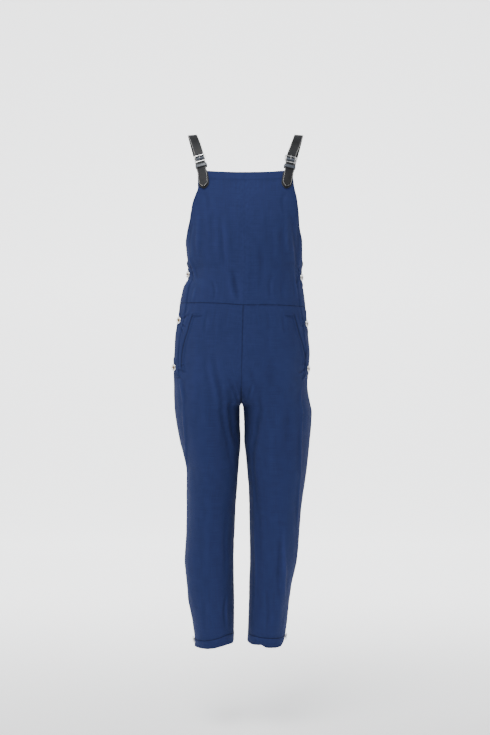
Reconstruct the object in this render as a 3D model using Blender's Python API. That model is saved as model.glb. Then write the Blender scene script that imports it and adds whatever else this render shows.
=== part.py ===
"""Bib overalls in navy cloth, held up by black leather shoulder straps with metal buckles.

Metres, +Z up. The front faces -Y and the wearer's left is +X. The origin lies midway between the
two straps, level with the top of the shoulders that carry them. The garment is hollow and
keeps the shape it has when worn: every cloth piece is a thin wall on one shared form, which the
tables below describe row by row. A place on that form is named by three values: the side (-1 is
the wearer's right, +1 the left), the place around the section in quarter turns (0 at the centre
front, 1 at the side, 2 at the centre back) and the height.
"""

import functools
import math
from collections import namedtuple

import bmesh
import bpy
import numpy as np
from mathutils import Matrix, Vector

OBJECT_NAME = "Bib overalls"
SIDES = {"right": -1, "left": 1}

# Cloth and seams.
CLOTH = 0.0015
SEAM_GAP = 0.0003
HALF_GAP = SEAM_GAP / 2
CONTACT = 0.0003
TRIM_LIFT = 0.0005
PLACKET_LIFT = 0.0004
STRAP_CLEAR = 0.0005
BAND_CLOTH = 0.0022
BAND_PROUD = 0.0004

# Heights that the cut hangs on.
BIB_TOP = -0.0992
BIB_TOP_SAG = 0.0050
BIB_TOP_HALF_WIDTH = 0.1
BACK_TOP = -0.175
PLACKET_TOP = -0.326
WAIST = -0.4165
WAIST_TILT = -0.030
WAIST_DIP = 0.003
WAIST_DIP_WIDTH = 0.05
CROTCH = -0.655
FORK_TOP_FRONT = -0.580
FORK_TOP_BACK = -0.585
PLACKET_END_ROW = 8

# Between these heights the section changes from one body into two legs.
LEG_SHAPE_TOP = -0.52
SPREAD_TOP = -0.56
SPREAD_END = -0.74
LEG_SQUARE = 2.2
THIGH_FULLNESS = 1.09

# The section at each height: the centre line's x, how far the outline lies from x = 0 on the
# wearer's right and left, the depth in front and behind, and how square it is (2 is an ellipse).
Form = namedtuple("Form", "height centre right left front back square")
FORM = (
    Form(-0.095, 0.0000, 0.1650, 0.1650, 0.097, 0.088, 3.00),
    Form(-0.140, 0.0000, 0.1650, 0.1650, 0.107, 0.092, 3.00),
    Form(-0.180, -0.0005, 0.1600, 0.1570, 0.114, 0.094, 2.90),
    Form(-0.220, -0.0010, 0.1535, 0.1490, 0.118, 0.094, 2.75),
    Form(-0.275, -0.0015, 0.1465, 0.1435, 0.119, 0.092, 2.60),
    Form(-0.313, -0.0020, 0.1425, 0.1425, 0.118, 0.089, 2.50),
    Form(-0.333, -0.0024, 0.1372, 0.1380, 0.117, 0.087, 2.45),
    Form(-0.353, -0.0027, 0.1384, 0.1384, 0.117, 0.087, 2.45),
    Form(-0.374, -0.0030, 0.1505, 0.1418, 0.1165, 0.087, 2.40),
    Form(-0.411, -0.0040, 0.1595, 0.1470, 0.117, 0.090, 2.40),
    Form(-0.450, -0.0050, 0.1635, 0.1500, 0.119, 0.099, 2.40),
    Form(-0.490, -0.0060, 0.1705, 0.1535, 0.121, 0.109, 2.35),
    Form(-0.530, -0.0070, 0.1725, 0.1570, 0.122, 0.118, 2.30),
    Form(-0.570, -0.0080, 0.1750, 0.1545, 0.121, 0.124, 2.30),
    Form(-0.610, -0.0085, 0.1740, 0.1525, 0.119, 0.124, 2.30),
    Form(-0.655, -0.0087, 0.1730, 0.1600, 0.116, 0.117, 2.25),
    Form(-0.674, -0.0087, 0.1710, 0.1637, 0.114, 0.111, 2.25),
    Form(-0.745, -0.0087, 0.1585, 0.1570, 0.107, 0.099, 2.20),
    Form(-0.823, -0.0087, 0.1424, 0.1490, 0.099, 0.088, 2.20),
    Form(-0.901, -0.0087, 0.1420, 0.1385, 0.090, 0.081, 2.20),
    Form(-0.980, -0.0087, 0.1440, 0.1325, 0.081, 0.078, 2.20),
    Form(-1.040, -0.0087, 0.1475, 0.1265, 0.073, 0.079, 2.20),
    Form(-1.088, -0.0087, 0.1440, 0.1155, 0.066, 0.080, 2.20),
    Form(-1.137, -0.0087, 0.1400, 0.1085, 0.059, 0.080, 2.20),
    Form(-1.186, -0.0087, 0.1300, 0.1020, 0.052, 0.077, 2.20),
    Form(-1.230, -0.0087, 0.1240, 0.0960, 0.046, 0.072, 2.20),
    Form(-1.260, -0.0087, 0.1205, 0.0910, 0.044, 0.070, 2.20),
)

# How far the inside of each leg lies from the centre line. The legs part at the crotch.
LegInside = namedtuple("LegInside", "height right left")
LEG_INSIDE = (
    LegInside(-0.655, 0.0000, 0.0000),
    LegInside(-0.660, 0.0031, 0.0031),
    LegInside(-0.666, 0.0035, 0.0038),
    LegInside(-0.705, 0.0036, 0.0065),
    LegInside(-0.745, 0.0018, 0.0067),
    LegInside(-0.784, 0.0038, 0.0107),
    LegInside(-0.823, 0.0067, 0.0138),
    LegInside(-0.862, 0.0099, 0.0175),
    LegInside(-0.901, 0.0141, 0.0192),
    LegInside(-0.941, 0.0165, 0.0199),
    LegInside(-0.990, 0.0183, 0.0205),
    LegInside(-1.039, 0.0187, 0.0205),
    LegInside(-1.088, 0.0187, 0.0190),
    LegInside(-1.137, 0.0178, 0.0180),
    LegInside(-1.225, 0.0185, 0.0158),
    LegInside(-1.260, 0.0185, 0.0180),
)

# The hem seam and the band's lower edge round each leg. Place 0 and 2 are the inseam, 1 the side.
Hem = namedtuple("Hem", "around right_seam right_edge left_seam left_edge")
HEM_LINE = (
    Hem(0.00, -1.2153, -1.2383, -1.2160, -1.2361),
    Hem(0.25, -1.2140, -1.2376, -1.2168, -1.2384),
    Hem(0.42, -1.2195, -1.2415, -1.2188, -1.2372),
    Hem(0.52, -1.2240, -1.2452, -1.2200, -1.2440),
    Hem(0.65, -1.2280, -1.2476, -1.2215, -1.2446),
    Hem(0.78, -1.2292, -1.2482, -1.2226, -1.2432),
    Hem(0.90, -1.2295, -1.2478, -1.2215, -1.2375),
    Hem(1.00, -1.2295, -1.2480, -1.2206, -1.2360),
    Hem(1.30, -1.2270, -1.2485, -1.2210, -1.2430),
    Hem(1.60, -1.2215, -1.2420, -1.2195, -1.2400),
    Hem(1.85, -1.2165, -1.2400, -1.2170, -1.2375),
    Hem(2.00, -1.2153, -1.2383, -1.2160, -1.2361),
)

# Where the line between front and back lies around the section. Above the placket it is the bib
# front's free edge, and below the placket it is the outer leg seam.
SideLine = namedtuple("SideLine", "height right left")
SIDE_LINE = (
    SideLine(-0.095, 0.378, 0.378),
    SideLine(-0.140, 0.381, 0.410),
    SideLine(-0.158, 0.430, 0.453),
    SideLine(-0.177, 0.495, 0.511),
    SideLine(-0.196, 0.545, 0.560),
    SideLine(-0.212, 0.590, 0.612),
    SideLine(-0.240, 0.685, 0.704),
    SideLine(-0.275, 0.825, 0.820),
    SideLine(-0.313, 0.820, 0.845),
    SideLine(-0.343, 0.790, 0.795),
    SideLine(-0.380, 0.745, 0.742),
    SideLine(-0.415, 0.730, 0.742),
    SideLine(-0.450, 0.755, 0.795),
    SideLine(-0.490, 0.765, 0.810),
    SideLine(-0.530, 0.785, 0.830),
    SideLine(-0.570, 0.800, 0.835),
    SideLine(-0.600, 0.765, 0.796),
    SideLine(-0.620, 0.740, 0.755),
    SideLine(-0.650, 0.730, 0.732),
    SideLine(-0.695, 0.747, 0.727),
    SideLine(-0.745, 0.785, 0.740),
    SideLine(-0.784, 0.840, 0.753),
    SideLine(-0.823, 0.910, 0.768),
    SideLine(-0.884, 0.985, 0.804),
    SideLine(-0.965, 1.025, 0.848),
    SideLine(-1.050, 1.037, 0.900),
    SideLine(-1.150, 1.040, 0.965),
    SideLine(-1.260, 1.040, 1.000),
)
QUARTER_TURN = 0.15  # metres of cloth, near enough for a gap

# Where the bib back's free edge lies around the section, from its top corner to the placket.
BackEdge = namedtuple("BackEdge", "height around")
BACK_EDGE = (
    BackEdge(-0.170, 1.62),
    BackEdge(-0.200, 1.59),
    BackEdge(-0.240, 1.50),
    BackEdge(-0.275, 1.33),
    BackEdge(-0.298, 1.15),
    BackEdge(-0.313, 0.98),
    BackEdge(-0.326, 0.76),
)

# Largest folds: where each starts and ends on the form, its half width and its depth (a trough is
# negative, a ridge positive).
Fold = namedtuple("Fold", "side start_around start_height end_around end_height width depth")
FOLDS = (
    Fold(-1, 0.36, -0.500, 0.30, -0.800, 0.016, -0.005),
    Fold(-1, 0.22, -0.610, 0.17, -0.760, 0.010, -0.005),
    Fold(-1, 0.48, -0.560, 0.50, -0.900, 0.022, 0.004),
    Fold(1, 0.30, -0.560, 0.20, -0.800, 0.014, -0.006),
    Fold(1, 0.45, -0.520, 0.42, -0.820, 0.020, 0.004),
    Fold(1, 0.62, -0.940, 0.66, -1.215, 0.012, 0.005),
    Fold(-1, 1.45, -0.640, 1.60, -0.860, 0.018, -0.005),
    Fold(1, 1.42, -0.640, 1.62, -0.840, 0.016, -0.006),
    Fold(-1, 1.75, -0.600, 1.50, -0.720, 0.012, -0.005),
    Fold(1, 1.76, -0.605, 1.50, -0.735, 0.012, -0.005),
    Fold(-1, 1.40, -0.930, 1.60, -1.010, 0.016, -0.004),
    Fold(1, 1.44, -0.910, 1.66, -1.000, 0.016, -0.004),
    Fold(-1, 0.10, -0.330, 0.04, -0.412, 0.012, -0.003),
    Fold(1, 0.62, -0.200, 0.68, -0.330, 0.012, -0.004),
    Fold(-1, 0.66, -0.220, 0.64, -0.330, 0.014, 0.003),
    Fold(-1, 1.30, -0.345, 1.55, -0.400, 0.013, -0.004),
    Fold(1, 1.32, -0.350, 1.58, -0.402, 0.013, -0.004),
)

# Rows and columns of the walls.
BIB_UPPER_ROWS = 11
BACK_UPPER_ROWS = 8
PLACKET_HEIGHTS = (-0.326, -0.334, -0.352, -0.362, -0.375, -0.393)
BIB_COLUMNS = 9
FRONT_COLUMNS = 10
BACK_COLUMNS = 8
ROWS_TO_FORK = 5
FORK_ROWS = 6
LEG_ROWS = 19

# The placket strip, measured across from the side line towards the back.
PLACKET_FRONT = -0.016
PLACKET_MIDDLE = 0.010
PLACKET_REAR = 0.023
SNAP_ACROSS = 0.0035

# The slanted pocket's mouth, as distances from x = 0, with its short bar along the top.
PocketMouth = namedtuple("PocketMouth", "height right left")
POCKET_MOUTH = (
    PocketMouth(-0.4410, 0.1230, 0.1165),
    PocketMouth(-0.4530, 0.1278, 0.1200),
    PocketMouth(-0.4790, 0.1354, 0.1268),
    PocketMouth(-0.5000, 0.1423, 0.1335),
    PocketMouth(-0.5175, 0.1467, 0.1385),
    PocketMouth(-0.5390, 0.1494, 0.1430),
    PocketMouth(-0.5605, 0.1500, 0.1450),
    PocketMouth(-0.5780, 0.1480, 0.1450),
)
POCKET_BOTTOM = {-1: -0.5780, 1: -0.5620}
POCKET_TO_PLACKET = 0.0015
POCKET_EDGE_WIDTH = 0.007
POCKET_BAR_LENGTH = 0.023
POCKET_BAR_HEIGHT = 0.005
POCKET_BAR_STEP = 0.0008
POCKET_EDGE_THICK = 0.0012
POCKET_EDGE_SHARES = (0.0, 0.33, 0.67, 1.0)
POCKET_ROWS = 12

# Leather straps. The free part of the strap's route, from the bib's top edge over the shoulder.
StrapPoint = namedtuple("StrapPoint", "right left behind height turn roll")
STRAP_ROUTE = (
    StrapPoint(0.1072, 0.1085, -0.0795, -0.0700, 12.0, 1.0),
    StrapPoint(0.1143, 0.1178, -0.0650, -0.0430, 8.0, 3.0),
    StrapPoint(0.1232, 0.1268, -0.0400, -0.0165, 3.0, 5.0),
    StrapPoint(0.1286, 0.1313, -0.0110, -0.0020, 0.0, 5.0),
    StrapPoint(0.1286, 0.1313, 0.0150, -0.0030, 0.0, 5.0),
    StrapPoint(0.1256, 0.1286, 0.0430, -0.0135, -3.0, 4.0),
    StrapPoint(0.1181, 0.1213, 0.0680, -0.0400, -8.0, 2.0),
    StrapPoint(0.1092, 0.1120, 0.0840, -0.0760, -12.0, 1.0),
    StrapPoint(0.1035, 0.1050, 0.0935, -0.1200, -14.0, 0.0),
)

# Where the strap lies on the bib in front, and on the bib behind: rows from its tip to its other end.
StrapRest = namedtuple("StrapRest", "right left height")
STRAP_ON_BIB = (
    StrapRest(0.0966, 0.0970, -0.1393),
    StrapRest(0.0984, 0.1000, -0.1190),
    StrapRest(0.1006, 0.1034, -0.1020),
    StrapRest(0.1020, 0.1048, -0.0930),
)
STRAP_ON_BACK = (
    StrapRest(0.1000, 0.1005, -0.1850),
    StrapRest(0.0980, 0.0980, -0.2050),
    StrapRest(0.0960, 0.0960, -0.2250),
)
STRAP_WIDTH = 0.022
STRAP_THICK = 0.0025
STRAP_POINT = 0.013
TIP_STATIONS = (0.0, 0.0012, 0.003, 0.006, 0.0095, 0.013)
TAB_END_STATIONS = (-0.0035, -0.0025, -0.0005, 0.0035, 0.009)
SHARED_STATIONS = (0.016, 0.0235, 0.031, 0.0355, 0.040, 0.0445, 0.049, 0.0535, 0.058)
FREE_STATIONS = 26
BLUNT_TIP = 0.0006
STRAP_TIP_ROUNDNESS = 0.85
TAB_WIDTH = 0.0255
TAB_NECK_WIDTH = 0.0200
TAB_NECK_START = 0.030
TAB_NECK_END = 0.045
TAB_THICK = 0.0018
TAB_TIP_ROUNDNESS = 0.55

# Buckle, with its middle at this length up the strap from the tip.
BUCKLE_AT = {-1: 0.0735, 1: 0.0705}
BUCKLE_WIDTH = 0.0290
BUCKLE_LENGTH = 0.0195
BUCKLE_WALL = 0.0030
BUCKLE_THICK = 0.0025
BUCKLE_CORNER = 0.0022
RAIL_SIDES = 6
BAR_RADIUS = 0.0011
BAR_DROP = 0.0048
BAR_END_INSET = 0.0003
STRAP_UNDER_BARS = -0.0031
STRAP_OVER_BAR = 0.0008
BULGE_HALF_LENGTH = 0.0065
PRONG_RADIUS = 0.0010
PRONG_BACK = 0.0012
PRONG_FLAT = 0.0030
PRONG_PAST_FRAME = 0.0008
KEEPER_AT = {-1: 0.0530, 1: 0.0505}
KEEPER_LENGTH = 0.0090
KEEPER_WALL = 0.0016
KEEPER_OUTER_WIDTH = 0.0275
KEEPER_ROOM = 0.0009

# Ring snaps.
SNAP_RADIUS = 0.0085
SNAP_FOOT_RADIUS = 0.0045
SNAP_SIDES = 12
SNAP_HEIGHTS = {
    "waist": {-1: -0.3431, 1: -0.3498},
    "hip": {-1: -0.4536, 1: -0.4610},
    "thigh": {-1: -0.5670, 1: -0.5697},
}
SNAP_FOOT_LIFT = 0.0006
# A snap's outline from its foot to its sunk centre, as distance from the axis and height.
SNAP_PROFILE = (
    (SNAP_FOOT_RADIUS, -SNAP_FOOT_LIFT),
    (SNAP_FOOT_RADIUS, 0.0006),
    (SNAP_RADIUS, 0.0006),
    (SNAP_RADIUS, 0.0016),
    (SNAP_RADIUS * 0.78, 0.0030),
    (SNAP_RADIUS * 0.50, 0.0026),
    (SNAP_RADIUS * 0.38, 0.0014),
)
HEM_SNAP_DROP = 0.40  # share of the hem band's depth

# Surface colours, roughness and metallic value.
Finish = namedtuple("Finish", "name colour roughness metallic")
NAVY_CLOTH = Finish("navy_cloth", (0.024, 0.048, 0.147), 0.85, 0.0)
STRAP_LEATHER = Finish("strap_leather", (0.042, 0.043, 0.047), 0.45, 0.0)
BRIGHT_METAL = Finish("bright_metal", (0.72, 0.73, 0.75), 0.22, 1.0)


def smooth_step(value, start, end):
    """0 at start, 1 at end, with a soft change between."""
    t = np.clip((np.asarray(value, float) - start) / (end - start), 0.0, 1.0)
    return t * t * (3.0 - 2.0 * t)


def mix(first, second, share):
    return first + (second - first) * share


@functools.lru_cache(maxsize=None)
def curve_of(table, name, key):
    """Knots, values and slopes of a table's column, such that the curve never overshoots its rows."""
    rows = sorted(table, key=lambda row: getattr(row, key))
    knots = np.array([getattr(row, key) for row in rows])
    values = np.array([getattr(row, name) for row in rows])
    rises = np.diff(values) / np.diff(knots)
    slopes = np.zeros(len(rows))
    slopes[0] = rises[0]
    slopes[-1] = rises[-1]
    before = rises[:-1]
    after = rises[1:]
    same_way = before * after > 0
    slopes[1:-1][same_way] = (2 * before * after)[same_way] / (before + after)[same_way]
    return knots, values, slopes


def column(table, name, where, key="height"):
    """The named column of a table, read at each height or at another key."""
    knots, values, slopes = curve_of(table, name, key)
    where = np.clip(where, knots[0], knots[-1])
    low = np.clip(np.searchsorted(knots, where) - 1, 0, len(knots) - 2)
    span = knots[low + 1] - knots[low]
    t = (where - knots[low]) / span
    rest = 1 - t
    ends = values[low] * (1 + 2 * t) * rest**2 + values[low + 1] * (3 - 2 * t) * t**2
    return ends + span * (slopes[low] * t * rest**2 - slopes[low + 1] * rest * t**2)


def side_name(side):
    return "left" if side > 0 else "right"


def reach_of(side, height):
    """How far the outline lies from the centre line."""
    outline = column(FORM, side_name(side), height)
    return outline - side * column(FORM, "centre", height)


def across_of(side, turn, height, gap):
    """Distance from the centre line at a turn of 0 (centre) to 1 (side)."""
    square = column(FORM, "square", height)
    reach = reach_of(side, height)
    inside = inside_of(side, height, gap)
    body = inside + (reach - inside) * np.sin(turn * math.pi / 2) ** (2 / square)
    swing = np.sin((2 * turn - 1) * math.pi / 2)
    half = (reach - inside) / 2
    leg = inside + half * (1 + np.sign(swing) * np.abs(swing) ** (2 / LEG_SQUARE))
    return mix(body, leg, smooth_step(height, LEG_SHAPE_TOP, CROTCH))


def inside_of(side, height, gap):
    """Distance of the inner edge from the centre line: a seam's gap above the crotch."""
    parted = np.where(height < CROTCH, column(LEG_INSIDE, side_name(side), height), 0.0)
    return np.maximum(parted, gap)


def form_point(side, around, height, gap=0.0):
    """Points of the plain form, before any fold."""
    around, height = np.broadcast_arrays(np.asarray(around, float), np.asarray(height, float))
    behind = around > 1
    turn = np.where(behind, 2 - around, around)
    square = column(FORM, "square", height)
    front = column(FORM, "front", height)
    back = column(FORM, "back", height)
    reach = reach_of(side, height)
    inside = inside_of(side, height, gap)
    across = across_of(side, turn, height, gap)
    sign = np.where(behind, 1.0, -1.0)

    fullness = mix(1.0, THIGH_FULLNESS, smooth_step(height, -0.50, CROTCH))
    rounding = np.clip(1 - np.clip(across / reach, 0, 1) ** square, 0, 1) ** (1 / square)
    body_y = sign * np.where(behind, back, front) * fullness * rounding

    half = (reach - inside) / 2
    off_middle = np.clip(np.abs(across - inside - half) / half, 0, 1)
    leg_round = np.clip(1 - off_middle**LEG_SQUARE, 0, 1) ** (1 / LEG_SQUARE)
    leg_y = (back - front) / 2 + sign * (front + back) / 2 * leg_round

    fork_top = np.where(behind, FORK_TOP_BACK, FORK_TOP_FRONT)
    t = np.clip((fork_top - height) / (fork_top - CROTCH), 0, 1)
    fork = 1 - np.sqrt(1 - t * t)
    inward = np.clip(np.cos(turn * math.pi), 0, 1) ** 4
    spread = smooth_step(height, SPREAD_TOP, SPREAD_END)
    y = mix(body_y, leg_y, mix(spread, fork, inward))
    x = column(FORM, "centre", height) + side * across
    return np.stack([x, y, height], axis=-1)


def form_normal(side, around, height, gap=0.0):
    """Outward directions of the plain form."""
    turn_step = 0.004
    height_step = 0.0015
    around, height = np.broadcast_arrays(np.asarray(around, float), np.asarray(height, float))
    later = form_point(side, np.minimum(around + turn_step, 2.0), height, gap)
    sooner = form_point(side, np.maximum(around - turn_step, 0.0), height, gap)
    lower = form_point(side, around, height - height_step, gap)
    higher = form_point(side, around, height + height_step, gap)
    normal = side * np.cross(lower - higher, later - sooner)
    return normal / np.linalg.norm(normal, axis=-1, keepdims=True)


def fold_depth(side, points):
    """How far the folds move each point along its normal."""
    depth = np.zeros(points.shape[:-1])
    for fold in FOLDS:
        if fold.side != side:
            continue
        start = form_point(side, fold.start_around, fold.start_height)
        end = form_point(side, fold.end_around, fold.end_height)
        line = end - start
        t = np.clip((points - start) @ line / (line @ line), 0, 1)
        off = np.linalg.norm(points - start - t[..., None] * line, axis=-1)
        depth += fold.depth * np.sin(math.pi * t) * np.exp(-((off / fold.width) ** 2))
    return depth


def cloth_point(side, around, height, lift=0.0, gap=0.0):
    """Points of the cloth's outer face with its folds, moved out by lift."""
    points = form_point(side, around, height, gap)
    normals = form_normal(side, around, height, gap)
    out = fold_depth(side, points) + lift
    return points + normals * out[..., None]


def around_at(side, distance, height, gap=0.0, behind=False):
    """The place around the section that lies this far from the centre line."""
    low = np.zeros(np.broadcast(distance, height).shape)
    high = np.ones_like(low)
    for _ in range(32):
        middle = (low + high) / 2
        short = across_of(side, middle, height, gap) < distance
        low = np.where(short, middle, low)
        high = np.where(short, high, middle)
    return 2 - low if behind else low


def side_line(side, height):
    """The place around the section of the line between front and back."""
    return column(SIDE_LINE, side_name(side), height)


def turn_speed(side, around, height):
    """Metres of cloth for each quarter turn, near a place."""
    step = 0.01
    there = form_point(side, around + step, height)
    here = form_point(side, around - step, height)
    return np.linalg.norm(there - here, axis=-1) / (2 * step)


def beside(side, distance, height):
    """The place this many metres of cloth behind the side line, or before it if negative."""
    line = side_line(side, height)
    return line + distance / turn_speed(side, line, height)


def waist_height(side, around):
    """Height of the waist seam, which tilts a little and dips at the centre front."""
    x = form_point(side, around, WAIST)[..., 0]
    dip = WAIST_DIP * np.exp(-((x / WAIST_DIP_WIDTH) ** 2)) * (np.asarray(around) < 1)
    return WAIST + WAIST_TILT * x - dip


def hem_height(side, around, line="seam"):
    return column(HEM_LINE, f"{side_name(side)}_{line}", around, "around")


def trouser_height(side, around, row):
    """Height of a row of the trouser panels. Rows crowd where the panels curve under at the fork."""
    turn = np.where(around > 1, 2 - around, around)
    waist = waist_height(side, around) - HALF_GAP
    hem = hem_height(side, around) + HALF_GAP
    fork_row = ROWS_TO_FORK + FORK_ROWS
    fork_top = np.where(around > 1, FORK_TOP_BACK, FORK_TOP_FRONT)
    if row <= ROWS_TO_FORK:
        inner = mix(waist, fork_top, row / ROWS_TO_FORK)
    elif row <= fork_row:
        angle = (row - ROWS_TO_FORK) / FORK_ROWS * math.pi / 2
        inner = mix(fork_top, CROTCH, math.sin(angle))
    else:
        inner = mix(CROTCH, hem, (row - fork_row) / LEG_ROWS)
    if row <= fork_row:
        outer = mix(waist, CROTCH, row / fork_row)
    else:
        outer = mix(CROTCH, hem, (row - fork_row) / LEG_ROWS)
    nearness = np.cos(turn.clip(0, 1) * math.pi / 2) ** 4
    return mix(outer, inner, nearness)


def inseam_gap(height):
    """Half the gap at the inseam, as a share of a quarter turn. Above the crotch there is no inseam."""
    return HALF_GAP / QUARTER_TURN if height <= CROTCH else 0.0


def front_arounds(side, height, edge, columns):
    """Places from the centre front to the side line, evenly spread, with one at the placket's edge."""
    placket_edge = beside(side, PLACKET_FRONT, height)
    share = smooth_step(height, LEG_SHAPE_TOP, CROTCH)
    power = mix(column(FORM, "square", height) / 2, 1.0, share)
    start = inseam_gap(height)
    even = [mix(start, placket_edge, (k / columns) ** power) for k in range(columns + 1)]
    return np.array(even + [edge])


def back_arounds(side, height, edge, columns):
    """Places from the side line to the centre back, with two at the placket's middle and rear."""
    speed = turn_speed(side, edge, height)
    near = [edge, edge + PLACKET_MIDDLE / speed, edge + PLACKET_REAR / speed]
    share = smooth_step(height, LEG_SHAPE_TOP, CROTCH)
    power = mix(column(FORM, "square", height) / 2, 1.0, share)
    end = 2 - inseam_gap(height)
    even = [mix(end, near[-1], (1 - k / columns) ** power) for k in range(1, columns + 1)]
    return np.array(near + even)


# --- Meshes -------------------------------------------------------------------------------------


def material_of(finish):
    material = bpy.data.materials.get(finish.name)
    if material:
        return material
    material = bpy.data.materials.new(finish.name)
    material.use_nodes = True
    shader = material.node_tree.nodes["Principled BSDF"]
    shader.inputs["Base Color"].default_value = (*finish.colour, 1.0)
    shader.inputs["Roughness"].default_value = finish.roughness
    shader.inputs["Metallic"].default_value = finish.metallic
    return material


def add_object(name, mesh, finish, collection):
    mesh.materials.append(material_of(finish))
    mesh.shade_smooth()
    mesh.set_sharp_from_angle(angle=math.radians(35))
    obj = bpy.data.objects.new(name, mesh)
    collection.objects.link(obj)
    return obj


def mesh_from(name, bm):
    bmesh.ops.recalc_face_normals(bm, faces=bm.faces)
    mesh = bpy.data.meshes.new(name)
    bm.to_mesh(mesh)
    bm.free()
    return mesh


def wall(name, outer, inner, finish, collection):
    """A closed wall between two grids of points, rows by columns."""
    rows, columns = outer.shape[:2]
    bm = bmesh.new()
    faces = []
    for points in (outer, inner):
        faces.append([[bm.verts.new(point) for point in line] for line in points])
    for grid in faces:
        for i in range(rows - 1):
            for j in range(columns - 1):
                bm.faces.new((grid[i][j], grid[i + 1][j], grid[i + 1][j + 1], grid[i][j + 1]))
    first, second = faces
    rim = [(i, 0) for i in range(rows)]
    rim += [(rows - 1, j) for j in range(1, columns)]
    rim += [(i, columns - 1) for i in range(rows - 2, -1, -1)]
    rim += [(0, j) for j in range(columns - 2, 0, -1)]
    for (i, j), (k, m) in zip(rim, rim[1:] + rim[:1]):
        bm.faces.new((first[i][j], first[k][m], second[k][m], second[i][j]))
    return add_object(name, mesh_from(name, bm), finish, collection)


def cloth_wall(name, side_of_column, arounds, heights, collection, lift=0.0, thick=CLOTH, gap=0.0):
    """A wall of cloth on the form, given the side, place and height of each grid point."""
    outer = np.empty(arounds.shape + (3,))
    inner = np.empty_like(outer)
    for side in (-1, 1):
        chosen = side_of_column == side
        if chosen.any():
            place = (side, arounds[:, chosen], heights[:, chosen])
            outer[:, chosen] = cloth_point(*place, lift, gap)
            inner[:, chosen] = cloth_point(*place, lift - thick, gap)
    return wall(name, outer, inner, NAVY_CLOTH, collection)


def bib_heights(side, around, top, upper_rows):
    """Heights down a bib column: even rows to the placket's top, then the placket's own rows."""
    upper = [mix(top, PLACKET_TOP, k / upper_rows) for k in range(upper_rows)]
    waist = waist_height(side, around) + HALF_GAP
    return upper + list(PLACKET_HEIGHTS) + [waist]


def build_bib_front(collection):
    arounds = []
    heights = []
    sides = []
    for side in (-1, 1):
        middle = float(side_line(side, -0.2))
        row_tops = bib_heights(side, middle, BIB_TOP, BIB_UPPER_ROWS)
        rows = []
        for height in row_tops:
            edge = side_line(side, height) - HALF_GAP / QUARTER_TURN
            rows.append(front_arounds(side, height, edge, BIB_COLUMNS))
        place = np.array(rows)
        down = np.empty_like(place)
        for j in range(place.shape[1]):
            x = across_of(side, place[0, j], BIB_TOP, 0.0)
            top = BIB_TOP - BIB_TOP_SAG * (1 - min(1.0, x / BIB_TOP_HALF_WIDTH) ** 2)
            down[:, j] = bib_heights(side, float(place[-1, j]), top, BIB_UPPER_ROWS)
        if side < 0:
            place = place[:, :0:-1]
            down = down[:, :0:-1]
        arounds.append(place)
        heights.append(down)
        sides += [side] * place.shape[1]
    arounds = np.concatenate(arounds, axis=1)
    heights = np.concatenate(heights, axis=1)
    cloth_wall("bib_front", np.array(sides), arounds, heights, collection)


def build_bib_back(collection):
    arounds = []
    heights = []
    sides = []
    for side in (1, -1):
        row_tops = bib_heights(side, 1.0, BACK_TOP, BACK_UPPER_ROWS)
        rows = []
        for height in row_tops:
            free = column(BACK_EDGE, "around", height)
            edge = np.maximum(side_line(side, height), free) + HALF_GAP / QUARTER_TURN
            rows.append(back_arounds(side, height, edge, BACK_COLUMNS))
        place = np.array(rows)
        down = np.empty_like(place)
        for j in range(place.shape[1]):
            down[:, j] = bib_heights(side, float(place[-1, j]), BACK_TOP, BACK_UPPER_ROWS)
        if side < 0:
            place = place[:, -2::-1]
            down = down[:, -2::-1]
        arounds.append(place)
        heights.append(down)
        sides += [side] * place.shape[1]
    arounds = np.concatenate(arounds, axis=1)
    heights = np.concatenate(heights, axis=1)
    cloth_wall("bib_back", np.array(sides), arounds, heights, collection)


def trouser_places(side, spread, edge_shift, columns):
    """Grid of places and heights of one trouser panel."""
    last_row = ROWS_TO_FORK + FORK_ROWS + LEG_ROWS
    arounds = []
    heights = []
    for row in range(last_row + 1):
        guess = trouser_height(side, np.array(0.95), row)
        line = side_line(side, guess)
        level = trouser_height(side, line, row)
        edge = side_line(side, level) + edge_shift
        places = spread(side, level, edge, columns)
        arounds.append(places)
        heights.append(trouser_height(side, places, row))
    return np.array(arounds), np.array(heights)


def build_trousers(collection):
    shift = HALF_GAP / QUARTER_TURN
    panels = (
        ("front", front_arounds, -shift, FRONT_COLUMNS),
        ("back", back_arounds, shift, BACK_COLUMNS),
    )
    for word, side in SIDES.items():
        for panel, spread, edge_shift, columns in panels:
            arounds, heights = trouser_places(side, spread, edge_shift, columns)
            sides = np.full(arounds.shape[1], side)
            name = f"trouser_{panel}_{word}"
            cloth_wall(name, sides, arounds, heights, collection, gap=HALF_GAP)


def build_hem_bands(collection):
    """A band round each leg's end. Its two ends meet at the side line and part downwards, as a vent."""
    vent = (0.0006, 0.0020, 0.0050)
    for word, side in SIDES.items():
        start = float(hem_height(side, 1.0))
        line = float(side_line(side, start))
        places = []
        for opening in vent:
            half = opening / 2 / QUARTER_TURN
            ahead = back_arounds(side, start, line + half, BACK_COLUMNS)
            after = front_arounds(side, start, line - half, FRONT_COLUMNS)
            places.append(np.concatenate([ahead[:-1], after]))
        arounds = np.array(places)
        fall = np.linspace(0, 1, len(vent))[:, None]
        seam = hem_height(side, arounds[:1]) - HALF_GAP
        heights = mix(seam, hem_height(side, arounds[:1], "edge"), fall)
        sides = np.full(arounds.shape[1], side)
        cloth_wall(f"hem_band_{word}", sides, arounds, heights, collection, BAND_PROUD, BAND_CLOTH)


def placket_levels(side):
    """Heights of the placket's rows at the side line: the bib's lower rows, then the trousers'."""
    bib_rows = list(PLACKET_HEIGHTS)
    trouser_rows = [trouser_height(side, side_line(side, WAIST), row) for row in range(PLACKET_END_ROW + 1)]
    return [float(height) for height in bib_rows + trouser_rows]


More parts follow.
